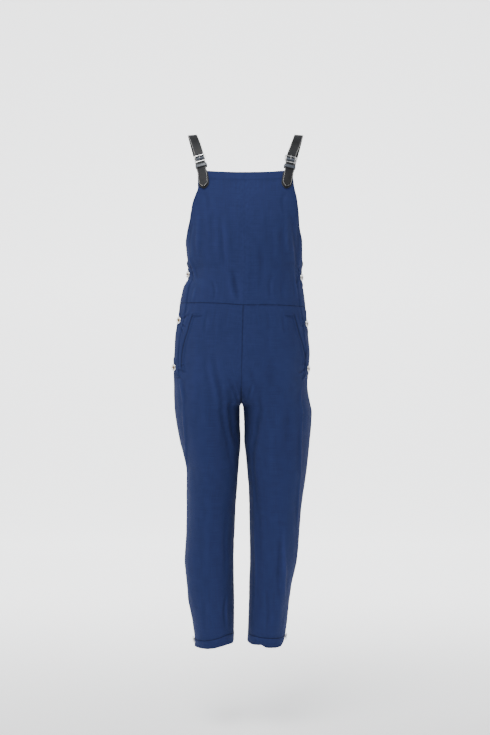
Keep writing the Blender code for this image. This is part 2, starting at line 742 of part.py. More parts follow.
def build_plackets(collection):
    for word, side in SIDES.items():
        levels = np.array(placket_levels(side))
        line = side_line(side, levels)
        speed = turn_speed(side, line, levels)
        steps = (PLACKET_FRONT, 0.0, PLACKET_MIDDLE, PLACKET_REAR)
        arounds = np.stack([line + step / speed for step in steps], axis=1)
        heights = np.repeat(levels[:, None], len(steps), axis=1)
        sides = np.full(len(steps), side)
        lift = PLACKET_LIFT + CLOTH
        cloth_wall(f"side_placket_{word}", sides, arounds, heights, collection, lift, gap=HALF_GAP)


def build_pocket_edges(collection):
    for word, side in SIDES.items():
        top = POCKET_MOUTH[0].height
        bar_foot = top - POCKET_BAR_HEIGHT
        below = np.linspace(bar_foot - POCKET_BAR_STEP, POCKET_BOTTOM[side], POCKET_ROWS + 1)
        levels = np.concatenate([[top, bar_foot], below])
        centre = column(FORM, "centre", levels)
        mouth = column(POCKET_MOUTH, word, levels) - side * centre
        width = np.where(levels >= bar_foot, POCKET_BAR_LENGTH, POCKET_EDGE_WIDTH)
        most = beside(side, PLACKET_FRONT - POCKET_TO_PLACKET, levels)
        mouth = np.minimum(mouth, across_of(side, most, levels, 0.0))
        lines = [around_at(side, mouth - width * share, levels) for share in POCKET_EDGE_SHARES]
        arounds = np.stack(lines, axis=1)
        heights = np.repeat(levels[:, None], len(lines), axis=1)
        sides = np.full(len(lines), side)
        lift = TRIM_LIFT + POCKET_EDGE_THICK
        name = f"pocket_edge_{word}"
        cloth_wall(name, sides, arounds, heights, collection, lift, POCKET_EDGE_THICK, HALF_GAP)


# --- Straps and buckles ---------------------------------------------------------------------------


def unit(vector):
    return vector / np.linalg.norm(vector, axis=-1, keepdims=True)


def on_form(side, out, height, lift, behind):
    """A point over the bib at this distance from x = 0, and the cloth's direction across there."""
    centre = float(column(FORM, "centre", height))
    around = around_at(side, out - side * centre, height, behind=behind)
    point = cloth_point(side, around, height, lift)
    step = -0.02 if behind else 0.02
    across = cloth_point(side, around + step, height, lift) - cloth_point(side, around - step, height, lift)
    return point, side * unit(across)


@functools.lru_cache(maxsize=None)
def strap_track(side):
    """Points and across directions along the strap's middle, evenly spaced, from tip to back end."""
    lift = TRIM_LIFT + TAB_THICK + STRAP_CLEAR + STRAP_THICK / 2
    back_lift = TRIM_LIFT + STRAP_THICK / 2
    word = side_name(side)
    rows = [on_form(side, getattr(row, word), row.height, lift, False) for row in STRAP_ON_BIB]
    for row in STRAP_ROUTE:
        turn = math.radians(row.turn)
        roll = math.radians(row.roll)
        across = np.array([math.cos(turn) * math.cos(roll), side * math.sin(turn), -side * math.sin(roll)])
        point = np.array([side * getattr(row, word), row.behind, row.height + STRAP_THICK / 2])
        rows.append((point, across))
    rows += [on_form(side, getattr(row, word), row.height, back_lift, True) for row in STRAP_ON_BACK]
    points = np.array([point for point, _ in rows])
    across = np.array([direction for _, direction in rows])
    lengths = np.concatenate([[0], np.cumsum(np.linalg.norm(np.diff(points, axis=0), axis=1))])
    slopes = np.gradient(points, lengths, axis=0)
    fine = np.linspace(0, lengths[-1], 600)
    low = np.clip(np.searchsorted(lengths, fine) - 1, 0, len(lengths) - 2)
    span = (lengths[low + 1] - lengths[low])[:, None]
    t = (fine - lengths[low])[:, None] / span
    rest = 1 - t
    path = points[low] * (1 + 2 * t) * rest**2 + points[low + 1] * (3 - 2 * t) * t**2
    path += span * (slopes[low] * t * rest**2 - slopes[low + 1] * rest * t**2)
    turning = across[low] * rest + across[low + 1] * t
    along = np.concatenate([[0], np.cumsum(np.linalg.norm(np.diff(path, axis=0), axis=1))])
    return along, path, turning


def track_at(side, length):
    """Point, direction along, across and out, at this length from the strap's tip."""
    along, path, turning = strap_track(side)

    def point_at(distance):
        return np.array([np.interp(distance, along, path[:, k]) for k in range(3)])

    step = 0.002
    inside = min(max(length, step), along[-1] - step)
    ahead = unit(point_at(inside + step) - point_at(inside - step))
    point = point_at(length) + ahead * (min(length, 0.0) + max(length - along[-1], 0.0))
    across = np.array([np.interp(length, along, turning[:, k]) for k in range(3)])
    across = unit(across - ahead * (across @ ahead))
    return point, ahead, across, np.cross(across, ahead)


def strap_rise(side, length):
    """How far the strap leaves its plain route to pass under the buckle's bars and over its pin."""
    offset = abs(length - BUCKLE_AT[side])
    over = np.clip(1 - offset / BULGE_HALF_LENGTH, 0, 1)
    return (STRAP_OVER_BAR - STRAP_UNDER_BARS) * over * over * (3 - 2 * over)


def strip(name, stations, thick, finish, collection):
    """A flat strip through stations of (centre, across, out, half width)."""
    bm = bmesh.new()
    rings = []
    for centre, across, out, half in stations:
        corners = []
        for width_sign, depth_sign in ((-1, -1), (1, -1), (1, 1), (-1, 1)):
            corners.append(bm.verts.new(centre + across * half * width_sign + out * thick / 2 * depth_sign))
        rings.append(corners)
    for first, second in zip(rings, rings[1:]):
        for k in range(4):
            bm.faces.new((first[k], first[(k + 1) % 4], second[(k + 1) % 4], second[k]))
    bm.faces.new(rings[0])
    bm.faces.new(rings[-1])
    return add_object(name, mesh_from(name, bm), finish, collection)


def strap_half_width(length):
    """Half the strap's width, which runs to a rounded point at the tip."""
    t = min(1.0, (length + BLUNT_TIP) / STRAP_POINT)
    return STRAP_WIDTH / 2 * math.sin(t * math.pi / 2) ** STRAP_TIP_ROUNDNESS


def build_straps(collection):
    for word, side in SIDES.items():
        total = strap_track(side)[0][-1]
        pin = BUCKLE_AT[side]
        lengths = [*TIP_STATIONS, *SHARED_STATIONS]
        lengths += [pin + BULGE_HALF_LENGTH * k / 3 for k in range(-3, 4)]
        rest = pin + BULGE_HALF_LENGTH
        lengths += [mix(rest, total, k / FREE_STATIONS) for k in range(1, FREE_STATIONS + 1)]
        stations = []
        for length in lengths:
            point, _, across, out = track_at(side, length)
            centre = point + out * strap_rise(side, length)
            stations.append((centre, across, out, strap_half_width(length)))
        strip(f"strap_{word}", stations, STRAP_THICK, STRAP_LEATHER, collection)


def build_tabs(collection):
    """Backing tabs: each lies on the bib under the strap's end and loops up round the buckle's pin."""
    under = -(STRAP_THICK / 2 + STRAP_CLEAR + TAB_THICK / 2)
    for word, side in SIDES.items():
        pin = BUCKLE_AT[side]
        pin_drop = -BAR_DROP - STRAP_UNDER_BARS
        loop = BAR_RADIUS + CONTACT + TAB_THICK / 2
        stations = []
        for length in (*TAB_END_STATIONS, *SHARED_STATIONS):
            point, _, across, out = track_at(side, length)
            shape = min(1.0, (length - TAB_END_STATIONS[0] + BLUNT_TIP) / STRAP_POINT)
            half = TAB_WIDTH / 2 * math.sin(shape * math.pi / 2) ** TAB_TIP_ROUNDNESS
            narrowing = float(smooth_step(length, TAB_NECK_START, TAB_NECK_END))
            half = mix(half, TAB_NECK_WIDTH / 2, narrowing)
            stations.append((point + out * under, across, out, half))
        point, ahead, across, out = track_at(side, pin)
        pin_centre = point + out * pin_drop
        for degrees in range(-90, 136, 45):
            angle = math.radians(degrees)
            away = ahead * math.cos(angle) + out * math.sin(angle)
            stations.append((pin_centre + away * loop, across, -away, TAB_NECK_WIDTH / 2))
        strip(f"strap_tab_{word}", stations, TAB_THICK, STRAP_LEATHER, collection)


def box_ring(name, frame, outer, inner, half_length, finish, collection):
    """A rectangular loop: outer and inner are (across, low, high) extents in the frame."""
    point, ahead, across, out = frame
    bm = bmesh.new()
    rings = []
    for extents, end in ((outer, -1), (outer, 1), (inner, 1), (inner, -1)):
        half, low, high = extents
        corners = ((-half, low), (half, low), (half, high), (-half, high))
        base = point + ahead * half_length * end
        rings.append([bm.verts.new(base + across * x + out * z) for x, z in corners])
    for first, second in zip(rings, rings[1:] + rings[:1]):
        for k in range(4):
            bm.faces.new((first[k], first[(k + 1) % 4], second[(k + 1) % 4], second[k]))
    return add_object(name, mesh_from(name, bm), finish, collection)


def build_keepers(collection):
    for word, side in SIDES.items():
        frame = track_at(side, KEEPER_AT[side])
        low = -(STRAP_THICK / 2 + STRAP_CLEAR + TAB_THICK + KEEPER_ROOM)
        high = STRAP_THICK / 2 + KEEPER_ROOM
        half = KEEPER_OUTER_WIDTH / 2
        outer = (half, low - KEEPER_WALL, high + KEEPER_WALL)
        inner = (half - KEEPER_WALL, low, high)
        box_ring(f"strap_keeper_{word}", frame, outer, inner, KEEPER_LENGTH / 2, STRAP_LEATHER, collection)


def placed(frame, lift):
    """A matrix whose X is across, Y ahead and Z out, at lift above the strap's plain middle."""
    point, ahead, across, out = frame
    matrix = Matrix.Identity(4)
    for k, axis in enumerate((across, ahead, out, point + out * lift)):
        for row in range(3):
            matrix[row][k] = axis[row]
    return matrix


def frame_mesh(name):
    """The buckle's rounded rectangular frame, lying in its own X-Y plane."""
    bm = bmesh.new()
    rings = []
    half_x = BUCKLE_WIDTH / 2 - BUCKLE_WALL / 2 - BUCKLE_CORNER
    half_y = BUCKLE_LENGTH / 2 - BUCKLE_WALL / 2 - BUCKLE_CORNER
    # The rail's flats lie on top and below, so its corners stand out a little further than that.
    rail_height = BUCKLE_THICK / 2 / math.cos(math.pi / RAIL_SIDES)
    corners = ((1, 1, 0), (-1, 1, 90), (-1, -1, 180), (1, -1, 270))
    for sign_x, sign_y, start in corners:
        middle = Vector((sign_x * half_x, sign_y * half_y, 0))
        for degrees in (0, 45, 90):
            angle = math.radians(start + degrees)
            away = Vector((math.cos(angle), math.sin(angle), 0))
            centre = middle + away * BUCKLE_CORNER
            ring = []
            for step in range(RAIL_SIDES):
                turn = 2 * math.pi * step / RAIL_SIDES
                rise = Vector((0, 0, math.sin(turn) * rail_height))
                ring.append(bm.verts.new(centre + away * math.cos(turn) * BUCKLE_WALL / 2 + rise))
            rings.append(ring)
    for first, second in zip(rings, rings[1:] + rings[:1]):
        for k in range(RAIL_SIDES):
            after = (k + 1) % RAIL_SIDES
            bm.faces.new((first[k], first[after], second[after], second[k]))
    return mesh_from(name, bm)


def rod_mesh(name, points, radius, sides_level=1):
    """A round rod through points, as a closed mesh."""
    curve = bpy.data.curves.new(name, "CURVE")
    curve.dimensions = "3D"
    curve.bevel_depth = radius
    curve.bevel_resolution = sides_level
    curve.use_fill_caps = True
    spline = curve.splines.new("POLY")
    spline.points.add(len(points) - 1)
    for slot, point in zip(spline.points, points):
        slot.co = (*point, 1.0)
    helper = bpy.data.objects.new(name, curve)
    bpy.context.scene.collection.objects.link(helper)
    graph = bpy.context.evaluated_depsgraph_get()
    mesh = bpy.data.meshes.new_from_object(helper.evaluated_get(graph))
    bpy.data.objects.remove(helper)
    bpy.data.curves.remove(curve)
    bm = bmesh.new()
    bm.from_mesh(mesh)
    bmesh.ops.remove_doubles(bm, verts=bm.verts, dist=0.00001)
    bpy.data.meshes.remove(mesh)
    return mesh_from(name, bm)


def build_buckles(collection, cutters):
    for word, side in SIDES.items():
        frame = track_at(side, BUCKLE_AT[side])
        matrix = placed(frame, -STRAP_UNDER_BARS)
        mesh = frame_mesh(f"buckle_{word}")
        mesh.transform(matrix)
        buckle = add_object(f"buckle_{word}", mesh, BRIGHT_METAL, collection)

        rail = BUCKLE_WIDTH / 2 - BUCKLE_WALL / 2 - BAR_END_INSET
        pin_points = [(-rail, 0, 0), (-rail, 0, -BAR_DROP), (rail, 0, -BAR_DROP), (rail, 0, 0)]
        pin_mesh = rod_mesh(f"buckle_pin_{word}", pin_points, BAR_RADIUS)
        pin_mesh.transform(matrix)
        pin = add_object(f"buckle_pin_{word}", pin_mesh, BRIGHT_METAL, cutters)
        pin.hide_render = True
        pin.display_type = "WIRE"
        joined = buckle.modifiers.new("pin", "BOOLEAN")
        joined.operation = "UNION"
        joined.object = pin

        rest = BUCKLE_THICK / 2 + CONTACT + PRONG_RADIUS
        root_height = STRAP_OVER_BAR + STRAP_THICK / 2 + CONTACT + PRONG_RADIUS
        tip_at = BUCKLE_LENGTH / 2 + PRONG_PAST_FRAME
        prong_points = [(0, -PRONG_BACK, root_height), (0, PRONG_FLAT, root_height), (0, tip_at, rest)]
        prong_mesh = rod_mesh(f"buckle_prong_{word}", prong_points, PRONG_RADIUS)
        prong_mesh.transform(matrix)
        add_object(f"buckle_prong_{word}", prong_mesh, BRIGHT_METAL, collection)


# --- Snaps ------------------------------------------------------------------------------------


def snap_mesh(name):
    """A ring snap as a turned solid: a foot below, a raised ring and a sunk centre above."""
    bm = bmesh.new()
    rings = []
    for radius, height in SNAP_PROFILE:
        ring = []
        for k in range(SNAP_SIDES):
            angle = 2 * math.pi * k / SNAP_SIDES
            ring.append(bm.verts.new((radius * math.cos(angle), radius * math.sin(angle), height)))
        rings.append(ring)
    for first, second in zip(rings, rings[1:]):
        for k in range(SNAP_SIDES):
            after = (k + 1) % SNAP_SIDES
            bm.faces.new((first[k], first[after], second[after], second[k]))
    bm.faces.new(rings[0])
    bm.faces.new(rings[-1])
    return mesh_from(name, bm)


def add_snap(name, side, around, height, lift, collection):
    """A snap whose foot stands just clear of the cloth, facing out."""
    point = Vector(cloth_point(side, around, height, lift + CONTACT + SNAP_FOOT_LIFT))
    normal = Vector(form_normal(side, around, height))
    mesh = snap_mesh(name)
    turned = normal.to_track_quat("Z", "Y").to_matrix().to_4x4()
    mesh.transform(Matrix.Translation(point) @ turned)
    add_object(name, mesh, BRIGHT_METAL, collection)


def build_snaps(collection):
    for word, side in SIDES.items():
        for place, heights in SNAP_HEIGHTS.items():
            height = heights[side]
            around = beside(side, SNAP_ACROSS, height)
            add_snap(f"snap_{place}_{word}", side, around, height, PLACKET_LIFT + CLOTH, collection)
        line = side_line(side, float(hem_height(side, 1.0)))
        height = mix(float(hem_height(side, line)), float(hem_height(side, line, "edge")), HEM_SNAP_DROP)
        add_snap(f"snap_hem_{word}", side, line, height, BAND_PROUD, collection)


def main():
    for obj in list(bpy.data.objects):
        bpy.data.objects.remove(obj)
    parts = bpy.data.collections.new(OBJECT_NAME)
    cutters = bpy.data.collections.new("Joining helpers")
    for collection in (parts, cutters):
        bpy.context.scene.collection.children.link(collection)
    build_bib_front(parts)
    build_bib_back(parts)
    build_trousers(parts)
    build_hem_bands(parts)
    build_plackets(parts)
    build_pocket_edges(parts)
    build_straps(parts)
    build_tabs(parts)
    build_keepers(parts)
    build_buckles(parts, cutters)
    build_snaps(parts)


main()
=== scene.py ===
"""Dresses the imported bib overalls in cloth, leather, metal and thread, in a plain pale studio.

Metres, +Z up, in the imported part's own frame: the front faces -Y and the wearer's left is +X. Each
cloth piece is a thin shell on the form that its solid has, so the form's tables stand here again. A
place on the form is a side, a place around the section in quarter turns (0 at the centre front, 1
at the side, 2 at the centre back) and a height.
"""

import functools
import logging
import math
from collections.abc import Sequence
from dataclasses import dataclass, field
from enum import Enum, IntEnum

import bpy
import numpy as np
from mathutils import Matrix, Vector


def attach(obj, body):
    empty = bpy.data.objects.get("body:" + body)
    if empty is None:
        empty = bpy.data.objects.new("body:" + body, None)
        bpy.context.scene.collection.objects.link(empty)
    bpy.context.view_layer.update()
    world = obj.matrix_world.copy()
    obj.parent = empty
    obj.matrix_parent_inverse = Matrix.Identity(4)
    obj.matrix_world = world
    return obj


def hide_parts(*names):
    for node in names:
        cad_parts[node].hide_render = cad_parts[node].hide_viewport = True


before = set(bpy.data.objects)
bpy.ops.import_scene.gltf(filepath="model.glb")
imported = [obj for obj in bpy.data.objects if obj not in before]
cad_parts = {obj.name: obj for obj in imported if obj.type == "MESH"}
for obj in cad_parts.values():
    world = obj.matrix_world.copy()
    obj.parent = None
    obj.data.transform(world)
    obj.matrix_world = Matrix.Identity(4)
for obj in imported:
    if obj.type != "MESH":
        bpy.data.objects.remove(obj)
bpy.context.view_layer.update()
LOG = logging.getLogger("overalls")

HALF_GAP = 0.00015
CONTACT = 0.0003
QUARTER_TURN = 0.15
MEET = 0.00003
CENTRE_SEAM_SOFT = 0.0006
OUTSEAM_RIDGE = 0.0011
OUTSEAM_WIDTH = 0.0040
BROAD_WAVES = 0.0007
FINE_WAVES = 0.00022
PUCKERS = 0.00024
PUCKER_REACH = 0.006
SEAM_GROOVE = 0.0004
SEAM_GROOVE_WIDTH = 0.0015
JOIN_WIDTH = 0.006

BIB_TOP = -0.0992
BIB_TOP_SAG = 0.0050
BIB_TOP_HALF_WIDTH = 0.1
BACK_TOP = -0.175
PLACKET_TOP = -0.326
WAIST = -0.4165
WAIST_TILT = -0.030
WAIST_DIP = 0.003
WAIST_DIP_WIDTH = 0.05
CROTCH = -0.655
FORK_TOP_FRONT = -0.580
FORK_TOP_BACK = -0.585
LEG_SHAPE_TOP = -0.52
SPREAD_TOP = -0.56
SPREAD_END = -0.74
LEG_SQUARE = 2.2
THIGH_FULLNESS = 1.09
ROWS_TO_FORK = 5
FORK_ROWS = 6
LEG_ROWS = 19
PLACKET_END_ROW = 8

# Height, centre line, outline on the right and left, depth in front and behind, squareness.
SECTIONS = (
    (-0.095, 0.0000, 0.1650, 0.1650, 0.097, 0.088, 3.00),
    (-0.140, 0.0000, 0.1650, 0.1650, 0.107, 0.092, 3.00),
    (-0.180, -0.0005, 0.1600, 0.1570, 0.114, 0.094, 2.90),
    (-0.220, -0.0010, 0.1535, 0.1490, 0.118, 0.094, 2.75),
    (-0.275, -0.0015, 0.1465, 0.1435, 0.119, 0.092, 2.60),
    (-0.313, -0.0020, 0.1425, 0.1425, 0.118, 0.089, 2.50),
    (-0.333, -0.0024, 0.1372, 0.1380, 0.117, 0.087, 2.45),
    (-0.353, -0.0027, 0.1384, 0.1384, 0.117, 0.087, 2.45),
    (-0.374, -0.0030, 0.1505, 0.1418, 0.1165, 0.087, 2.40),
    (-0.411, -0.0040, 0.1595, 0.1470, 0.117, 0.090, 2.40),
    (-0.450, -0.0050, 0.1635, 0.1500, 0.119, 0.099, 2.40),
    (-0.490, -0.0060, 0.1705, 0.1535, 0.121, 0.109, 2.35),
    (-0.530, -0.0070, 0.1725, 0.1570, 0.122, 0.118, 2.30),
    (-0.570, -0.0080, 0.1750, 0.1545, 0.121, 0.124, 2.30),
    (-0.610, -0.0085, 0.1740, 0.1525, 0.119, 0.124, 2.30),
    (-0.655, -0.0087, 0.1730, 0.1600, 0.116, 0.117, 2.25),
    (-0.674, -0.0087, 0.1710, 0.1637, 0.114, 0.111, 2.25),
    (-0.745, -0.0087, 0.1585, 0.1570, 0.107, 0.099, 2.20),
    (-0.823, -0.0087, 0.1424, 0.1490, 0.099, 0.088, 2.20),
    (-0.901, -0.0087, 0.1420, 0.1385, 0.090, 0.081, 2.20),
    (-0.980, -0.0087, 0.1440, 0.1325, 0.081, 0.078, 2.20),
    (-1.040, -0.0087, 0.1475, 0.1265, 0.073, 0.079, 2.20),
    (-1.088, -0.0087, 0.1440, 0.1155, 0.066, 0.080, 2.20),
    (-1.137, -0.0087, 0.1400, 0.1085, 0.059, 0.080, 2.20),
    (-1.186, -0.0087, 0.1300, 0.1020, 0.052, 0.077, 2.20),
    (-1.230, -0.0087, 0.1240, 0.0960, 0.046, 0.072, 2.20),
    (-1.260, -0.0087, 0.1205, 0.0910, 0.044, 0.070, 2.20),
)
# Height, inside of the right and the left leg.
LEG_INSIDE = (
    (-0.655, 0.0000, 0.0000),
    (-0.660, 0.0031, 0.0031),
    (-0.666, 0.0035, 0.0038),
    (-0.705, 0.0036, 0.0065),
    (-0.745, 0.0018, 0.0067),
    (-0.784, 0.0038, 0.0107),
    (-0.823, 0.0067, 0.0138),
    (-0.862, 0.0099, 0.0175),
    (-0.901, 0.0141, 0.0192),
    (-0.941, 0.0165, 0.0199),
    (-0.990, 0.0183, 0.0205),
    (-1.039, 0.0187, 0.0205),
    (-1.088, 0.0187, 0.0190),
    (-1.137, 0.0178, 0.0180),
    (-1.225, 0.0185, 0.0158),
    (-1.260, 0.0185, 0.0180),
)
# Place around, hem seam and lower edge of the right leg, then of the left leg.
HEM_LINE = (
    (0.00, -1.2153, -1.2383, -1.2160, -1.2361),
    (0.25, -1.2140, -1.2376, -1.2168, -1.2384),
    (0.42, -1.2195, -1.2415, -1.2188, -1.2372),
    (0.52, -1.2240, -1.2452, -1.2200, -1.2440),
    (0.65, -1.2280, -1.2476, -1.2215, -1.2446),
    (0.78, -1.2292, -1.2482, -1.2226, -1.2432),
    (0.90, -1.2295, -1.2478, -1.2215, -1.2375),
    (1.00, -1.2295, -1.2480, -1.2206, -1.2360),
    (1.30, -1.2270, -1.2485, -1.2210, -1.2430),
    (1.60, -1.2215, -1.2420, -1.2195, -1.2400),
    (1.85, -1.2165, -1.2400, -1.2170, -1.2375),
    (2.00, -1.2153, -1.2383, -1.2160, -1.2361),
)
# Height, place around of the line between front and back on the right and on the left.
SIDE_LINE = (
    (-0.095, 0.378, 0.378),
    (-0.140, 0.381, 0.410),
    (-0.158, 0.430, 0.453),
    (-0.177, 0.495, 0.511),
    (-0.196, 0.545, 0.560),
    (-0.212, 0.590, 0.612),
    (-0.240, 0.685, 0.704),
    (-0.275, 0.825, 0.820),
    (-0.313, 0.820, 0.845),
    (-0.343, 0.790, 0.795),
    (-0.380, 0.745, 0.742),
    (-0.415, 0.730, 0.742),
    (-0.450, 0.755, 0.795),
    (-0.490, 0.765, 0.810),
    (-0.530, 0.785, 0.830),
    (-0.570, 0.800, 0.835),
    (-0.600, 0.765, 0.796),
    (-0.620, 0.740, 0.755),
    (-0.650, 0.730, 0.732),
    (-0.695, 0.747, 0.727),
    (-0.745, 0.785, 0.740),
    (-0.784, 0.840, 0.753),
    (-0.823, 0.910, 0.768),
    (-0.884, 0.985, 0.804),
    (-0.965, 1.025, 0.848),
    (-1.050, 1.037, 0.900),
    (-1.150, 1.040, 0.965),
    (-1.260, 1.040, 1.000),
)
# Height and place around of the bib back's free edge.
BACK_EDGE = (
    (-0.170, 1.62),
    (-0.200, 1.59),
    (-0.240, 1.50),
    (-0.275, 1.33),
    (-0.298, 1.15),
    (-0.313, 0.98),
    (-0.326, 0.76),
)
# Height, pocket mouth's distance from x = 0 on the right and on the left.
POCKET_MOUTH = (
    (-0.4410, 0.1230, 0.1165),
    (-0.4530, 0.1278, 0.1200),
    (-0.4790, 0.1354, 0.1268),
    (-0.5000, 0.1423, 0.1335),
    (-0.5175, 0.1467, 0.1385),
    (-0.5390, 0.1494, 0.1430),
    (-0.5605, 0.1500, 0.1450),
    (-0.5780, 0.1480, 0.1450),
)
# Side, start and end as place around and height, width and depth: the folds that the solids have.
MAIN_FOLDS = (
    (-1, 0.36, -0.500, 0.30, -0.800, 0.016, -0.005),
    (-1, 0.22, -0.610, 0.17, -0.760, 0.010, -0.005),
    (-1, 0.48, -0.560, 0.50, -0.900, 0.022, 0.004),
    (1, 0.30, -0.560, 0.20, -0.800, 0.014, -0.006),
    (1, 0.45, -0.520, 0.42, -0.820, 0.020, 0.004),
    (1, 0.62, -0.940, 0.66, -1.215, 0.012, 0.005),
    (-1, 1.45, -0.640, 1.60, -0.860, 0.018, -0.005),
    (1, 1.42, -0.640, 1.62, -0.840, 0.016, -0.006),
    (-1, 1.75, -0.600, 1.50, -0.720, 0.012, -0.005),
    (1, 1.76, -0.605, 1.50, -0.735, 0.012, -0.005),
    (-1, 1.40, -0.930, 1.60, -1.010, 0.016, -0.004),
    (1, 1.44, -0.910, 1.66, -1.000, 0.016, -0.004),
    (-1, 0.10, -0.330, 0.04, -0.412, 0.012, -0.003),
    (1, 0.62, -0.200, 0.68, -0.330, 0.012, -0.004),
    (-1, 0.66, -0.220, 0.64, -0.330, 0.014, 0.003),
    (-1, 1.30, -0.345, 1.55, -0.400, 0.013, -0.004),
    (1, 1.32, -0.350, 1.58, -0.402, 0.013, -0.004),
)
PLACKET_FRONT = -0.016
PLACKET_REAR = 0.023
PLACKET_LIFT = 0.0004
PLACKET_CLOTH = 0.0015
SNAP_ACROSS = 0.0035
SNAP_HEIGHTS = {
    "waist": {-1: -0.3431, 1: -0.3498},
    "hip": {-1: -0.4536, 1: -0.4610},
    "thigh": {-1: -0.5670, 1: -0.5697},
}


class Side(IntEnum):
    """The wearer's sides: the right is towards -X."""

    RIGHT = -1
    LEFT = 1

    @property
    def word(self) -> str:
        """The side's name as the nodes carry it."""
        return self.name.lower()

class Stuff(Enum):
    """What a piece is made of, with the name of a material slot."""

    CLOTH = "navy_cloth"
    LEATHER = "strap_leather"
    METAL = "bright_metal"


class Face(Enum):
    """Where a crease's points are given: by x on the front or back, or by place around a side."""

    FRONT = "front"
    BACK = "back"
    RIGHT = "right"
    LEFT = "left"


def smooth_step(value: np.ndarray | float, start: float, end: float) -> np.ndarray:
    """A soft change from 0 at start to 1 at end.

    Args:
        value: Where to read the change.
        start: Value at which it is 0.
        end: Value at which it is 1.

    Returns:
        The share of the change that is done.
    """
    t = np.clip((np.asarray(value, float) - start) / (end - start), 0.0, 1.0)
    return t * t * (3.0 - 2.0 * t)


def mix(first: object, second: object, share: object) -> object:
    """The number or array that lies this share of the way from first to second."""
    return first + (second - first) * share


def unit(vector: np.ndarray) -> np.ndarray:
    """The vectors at a length of one."""
    return vector / np.maximum(np.linalg.norm(vector, axis=-1, keepdims=True), 1e-12)


def end_heavy(count: int) -> np.ndarray:
    """Even shares from 0 to 1, with a few closer ones at both ends."""
    near = np.array((0.12, 0.3, 0.6)) / count
    return np.sort(np.concatenate([np.linspace(0, 1, count + 1), near, 1 - near]))


def softened(values: np.ndarray, cells: int) -> np.ndarray:
    """A grid of values blurred over this many cells each way."""
    weights = np.exp(-np.linspace(-2, 2, 2 * cells + 1) ** 2)
    weights /= weights.sum()
    for axis in (0, 1):
        edges = [(0, 0), (0, 0)]
        edges[axis] = (cells, cells)
        padded = np.pad(values, edges, mode="edge")
        values = np.apply_along_axis(np.convolve, axis, padded, weights, "valid")
    return values


def hermite(knots: np.ndarray, values: np.ndarray, slopes: np.ndarray, where: np.ndarray) -> np.ndarray:
    """Reads a smooth curve between its knots.

    Args:
        knots: Rising places.
        values: A number or a point at each knot.
        slopes: The curve's slope at each knot.
        where: Places to read.

    Returns:
        The values there.
    """
    low = np.clip(np.searchsorted(knots, where) - 1, 0, len(knots) - 2)
    span = knots[low + 1] - knots[low]
    t = (where - knots[low]) / span
    if values.ndim > 1:
        span = span[:, None]
        t = t[:, None]
    rest = 1 - t
    ends = values[low] * (1 + 2 * t) * rest**2 + values[low + 1] * (3 - 2 * t) * t**2
    return ends + span * (slopes[low] * t * rest**2 - slopes[low + 1] * rest * t**2)


@dataclass(frozen=True)
class Curve:
    """A smooth curve through knots that never overshoots them.

    Attributes:
        knots: Rising places at which the values are given.
        values: The values.
        slopes: The curve's slope at each knot.
    """

    knots: np.ndarray
    values: np.ndarray
    slopes: np.ndarray

    @classmethod
    def through(cls, knots: Sequence[float], values: Sequence[float]) -> "Curve":
        """Makes the curve.

        Args:
            knots: Places, in any order.
            values: One value for each.

        Returns:
            The curve.
        """
        order = np.argsort(knots)
        places = np.asarray(knots, float)[order]
        heights = np.asarray(values, float)[order]
        rises = np.diff(heights) / np.diff(places)
        before = rises[:-1]
        after = rises[1:]
        slopes = np.zeros(len(places))
        slopes[0] = rises[0]
        slopes[-1] = rises[-1]
        same = before * after > 0
        slopes[1:-1][same] = (2 * before * after)[same] / (before + after)[same]
        return cls(places, heights, slopes)

    def at(self, where: np.ndarray | float) -> np.ndarray:
        """The curve's values at places, held level past its ends."""
        return hermite(self.knots, self.values, self.slopes, np.clip(where, self.knots[0], self.knots[-1]))


def curves_of(names: str, rows: Sequence[Sequence[float]]) -> dict[str, Curve]:
    """Curves through a table's columns.

    Args:
        names: Names of the columns after the first, with spaces between.
        rows: The table, whose first column is the place.

    Returns:
        A curve for each name.
    """
    table = np.array(rows, float)
    return {name: Curve.through(table[:, 0], table[:, k + 1]) for k, name in enumerate(names.split())}


@dataclass(frozen=True)
class SoftNoise:
    """A soft wave field in space, the same each run.

    Attributes:
        wavelength: Typical distance between crests.
        seed: Number that its directions and phases follow.
        count: How many plain waves it adds up.
        stretch: How much longer the waves are along Z.
    """

    wavelength: float
    seed: int
    count: int = 14
    stretch: float = 1.0

    def at(self, points: np.ndarray) -> np.ndarray:
        """The field's value, mostly from -1 to 1.

        Args:
            points: Points in space.

        Returns:
            One value for each point.
        """
        random = np.random.default_rng(self.seed)
        total = np.zeros(points.shape[:-1])
        for _ in range(self.count):
            direction = unit(random.normal(size=3)) * random.uniform(0.6, 1.5)
            direction[2] /= self.stretch
            phase = random.uniform(0, 2 * math.pi)
            total += np.sin(points @ direction * (2 * math.pi / self.wavelength) + phase)
        return total / math.sqrt(self.count)


@dataclass(frozen=True)
class Fold:
    """One fold or crease, laid on the plain form.

    Attributes:
        side: The wearer's side.
        line: Its points.
        out: The cloth's outward direction there.
        width: Half its width.
        depth: How far it moves the cloth at most, inwards if negative.
        pleat: Whether one flank rises and the other falls.
    """

    side: int
    line: np.ndarray
    out: np.ndarray
    width: float
    depth: float
    pleat: bool


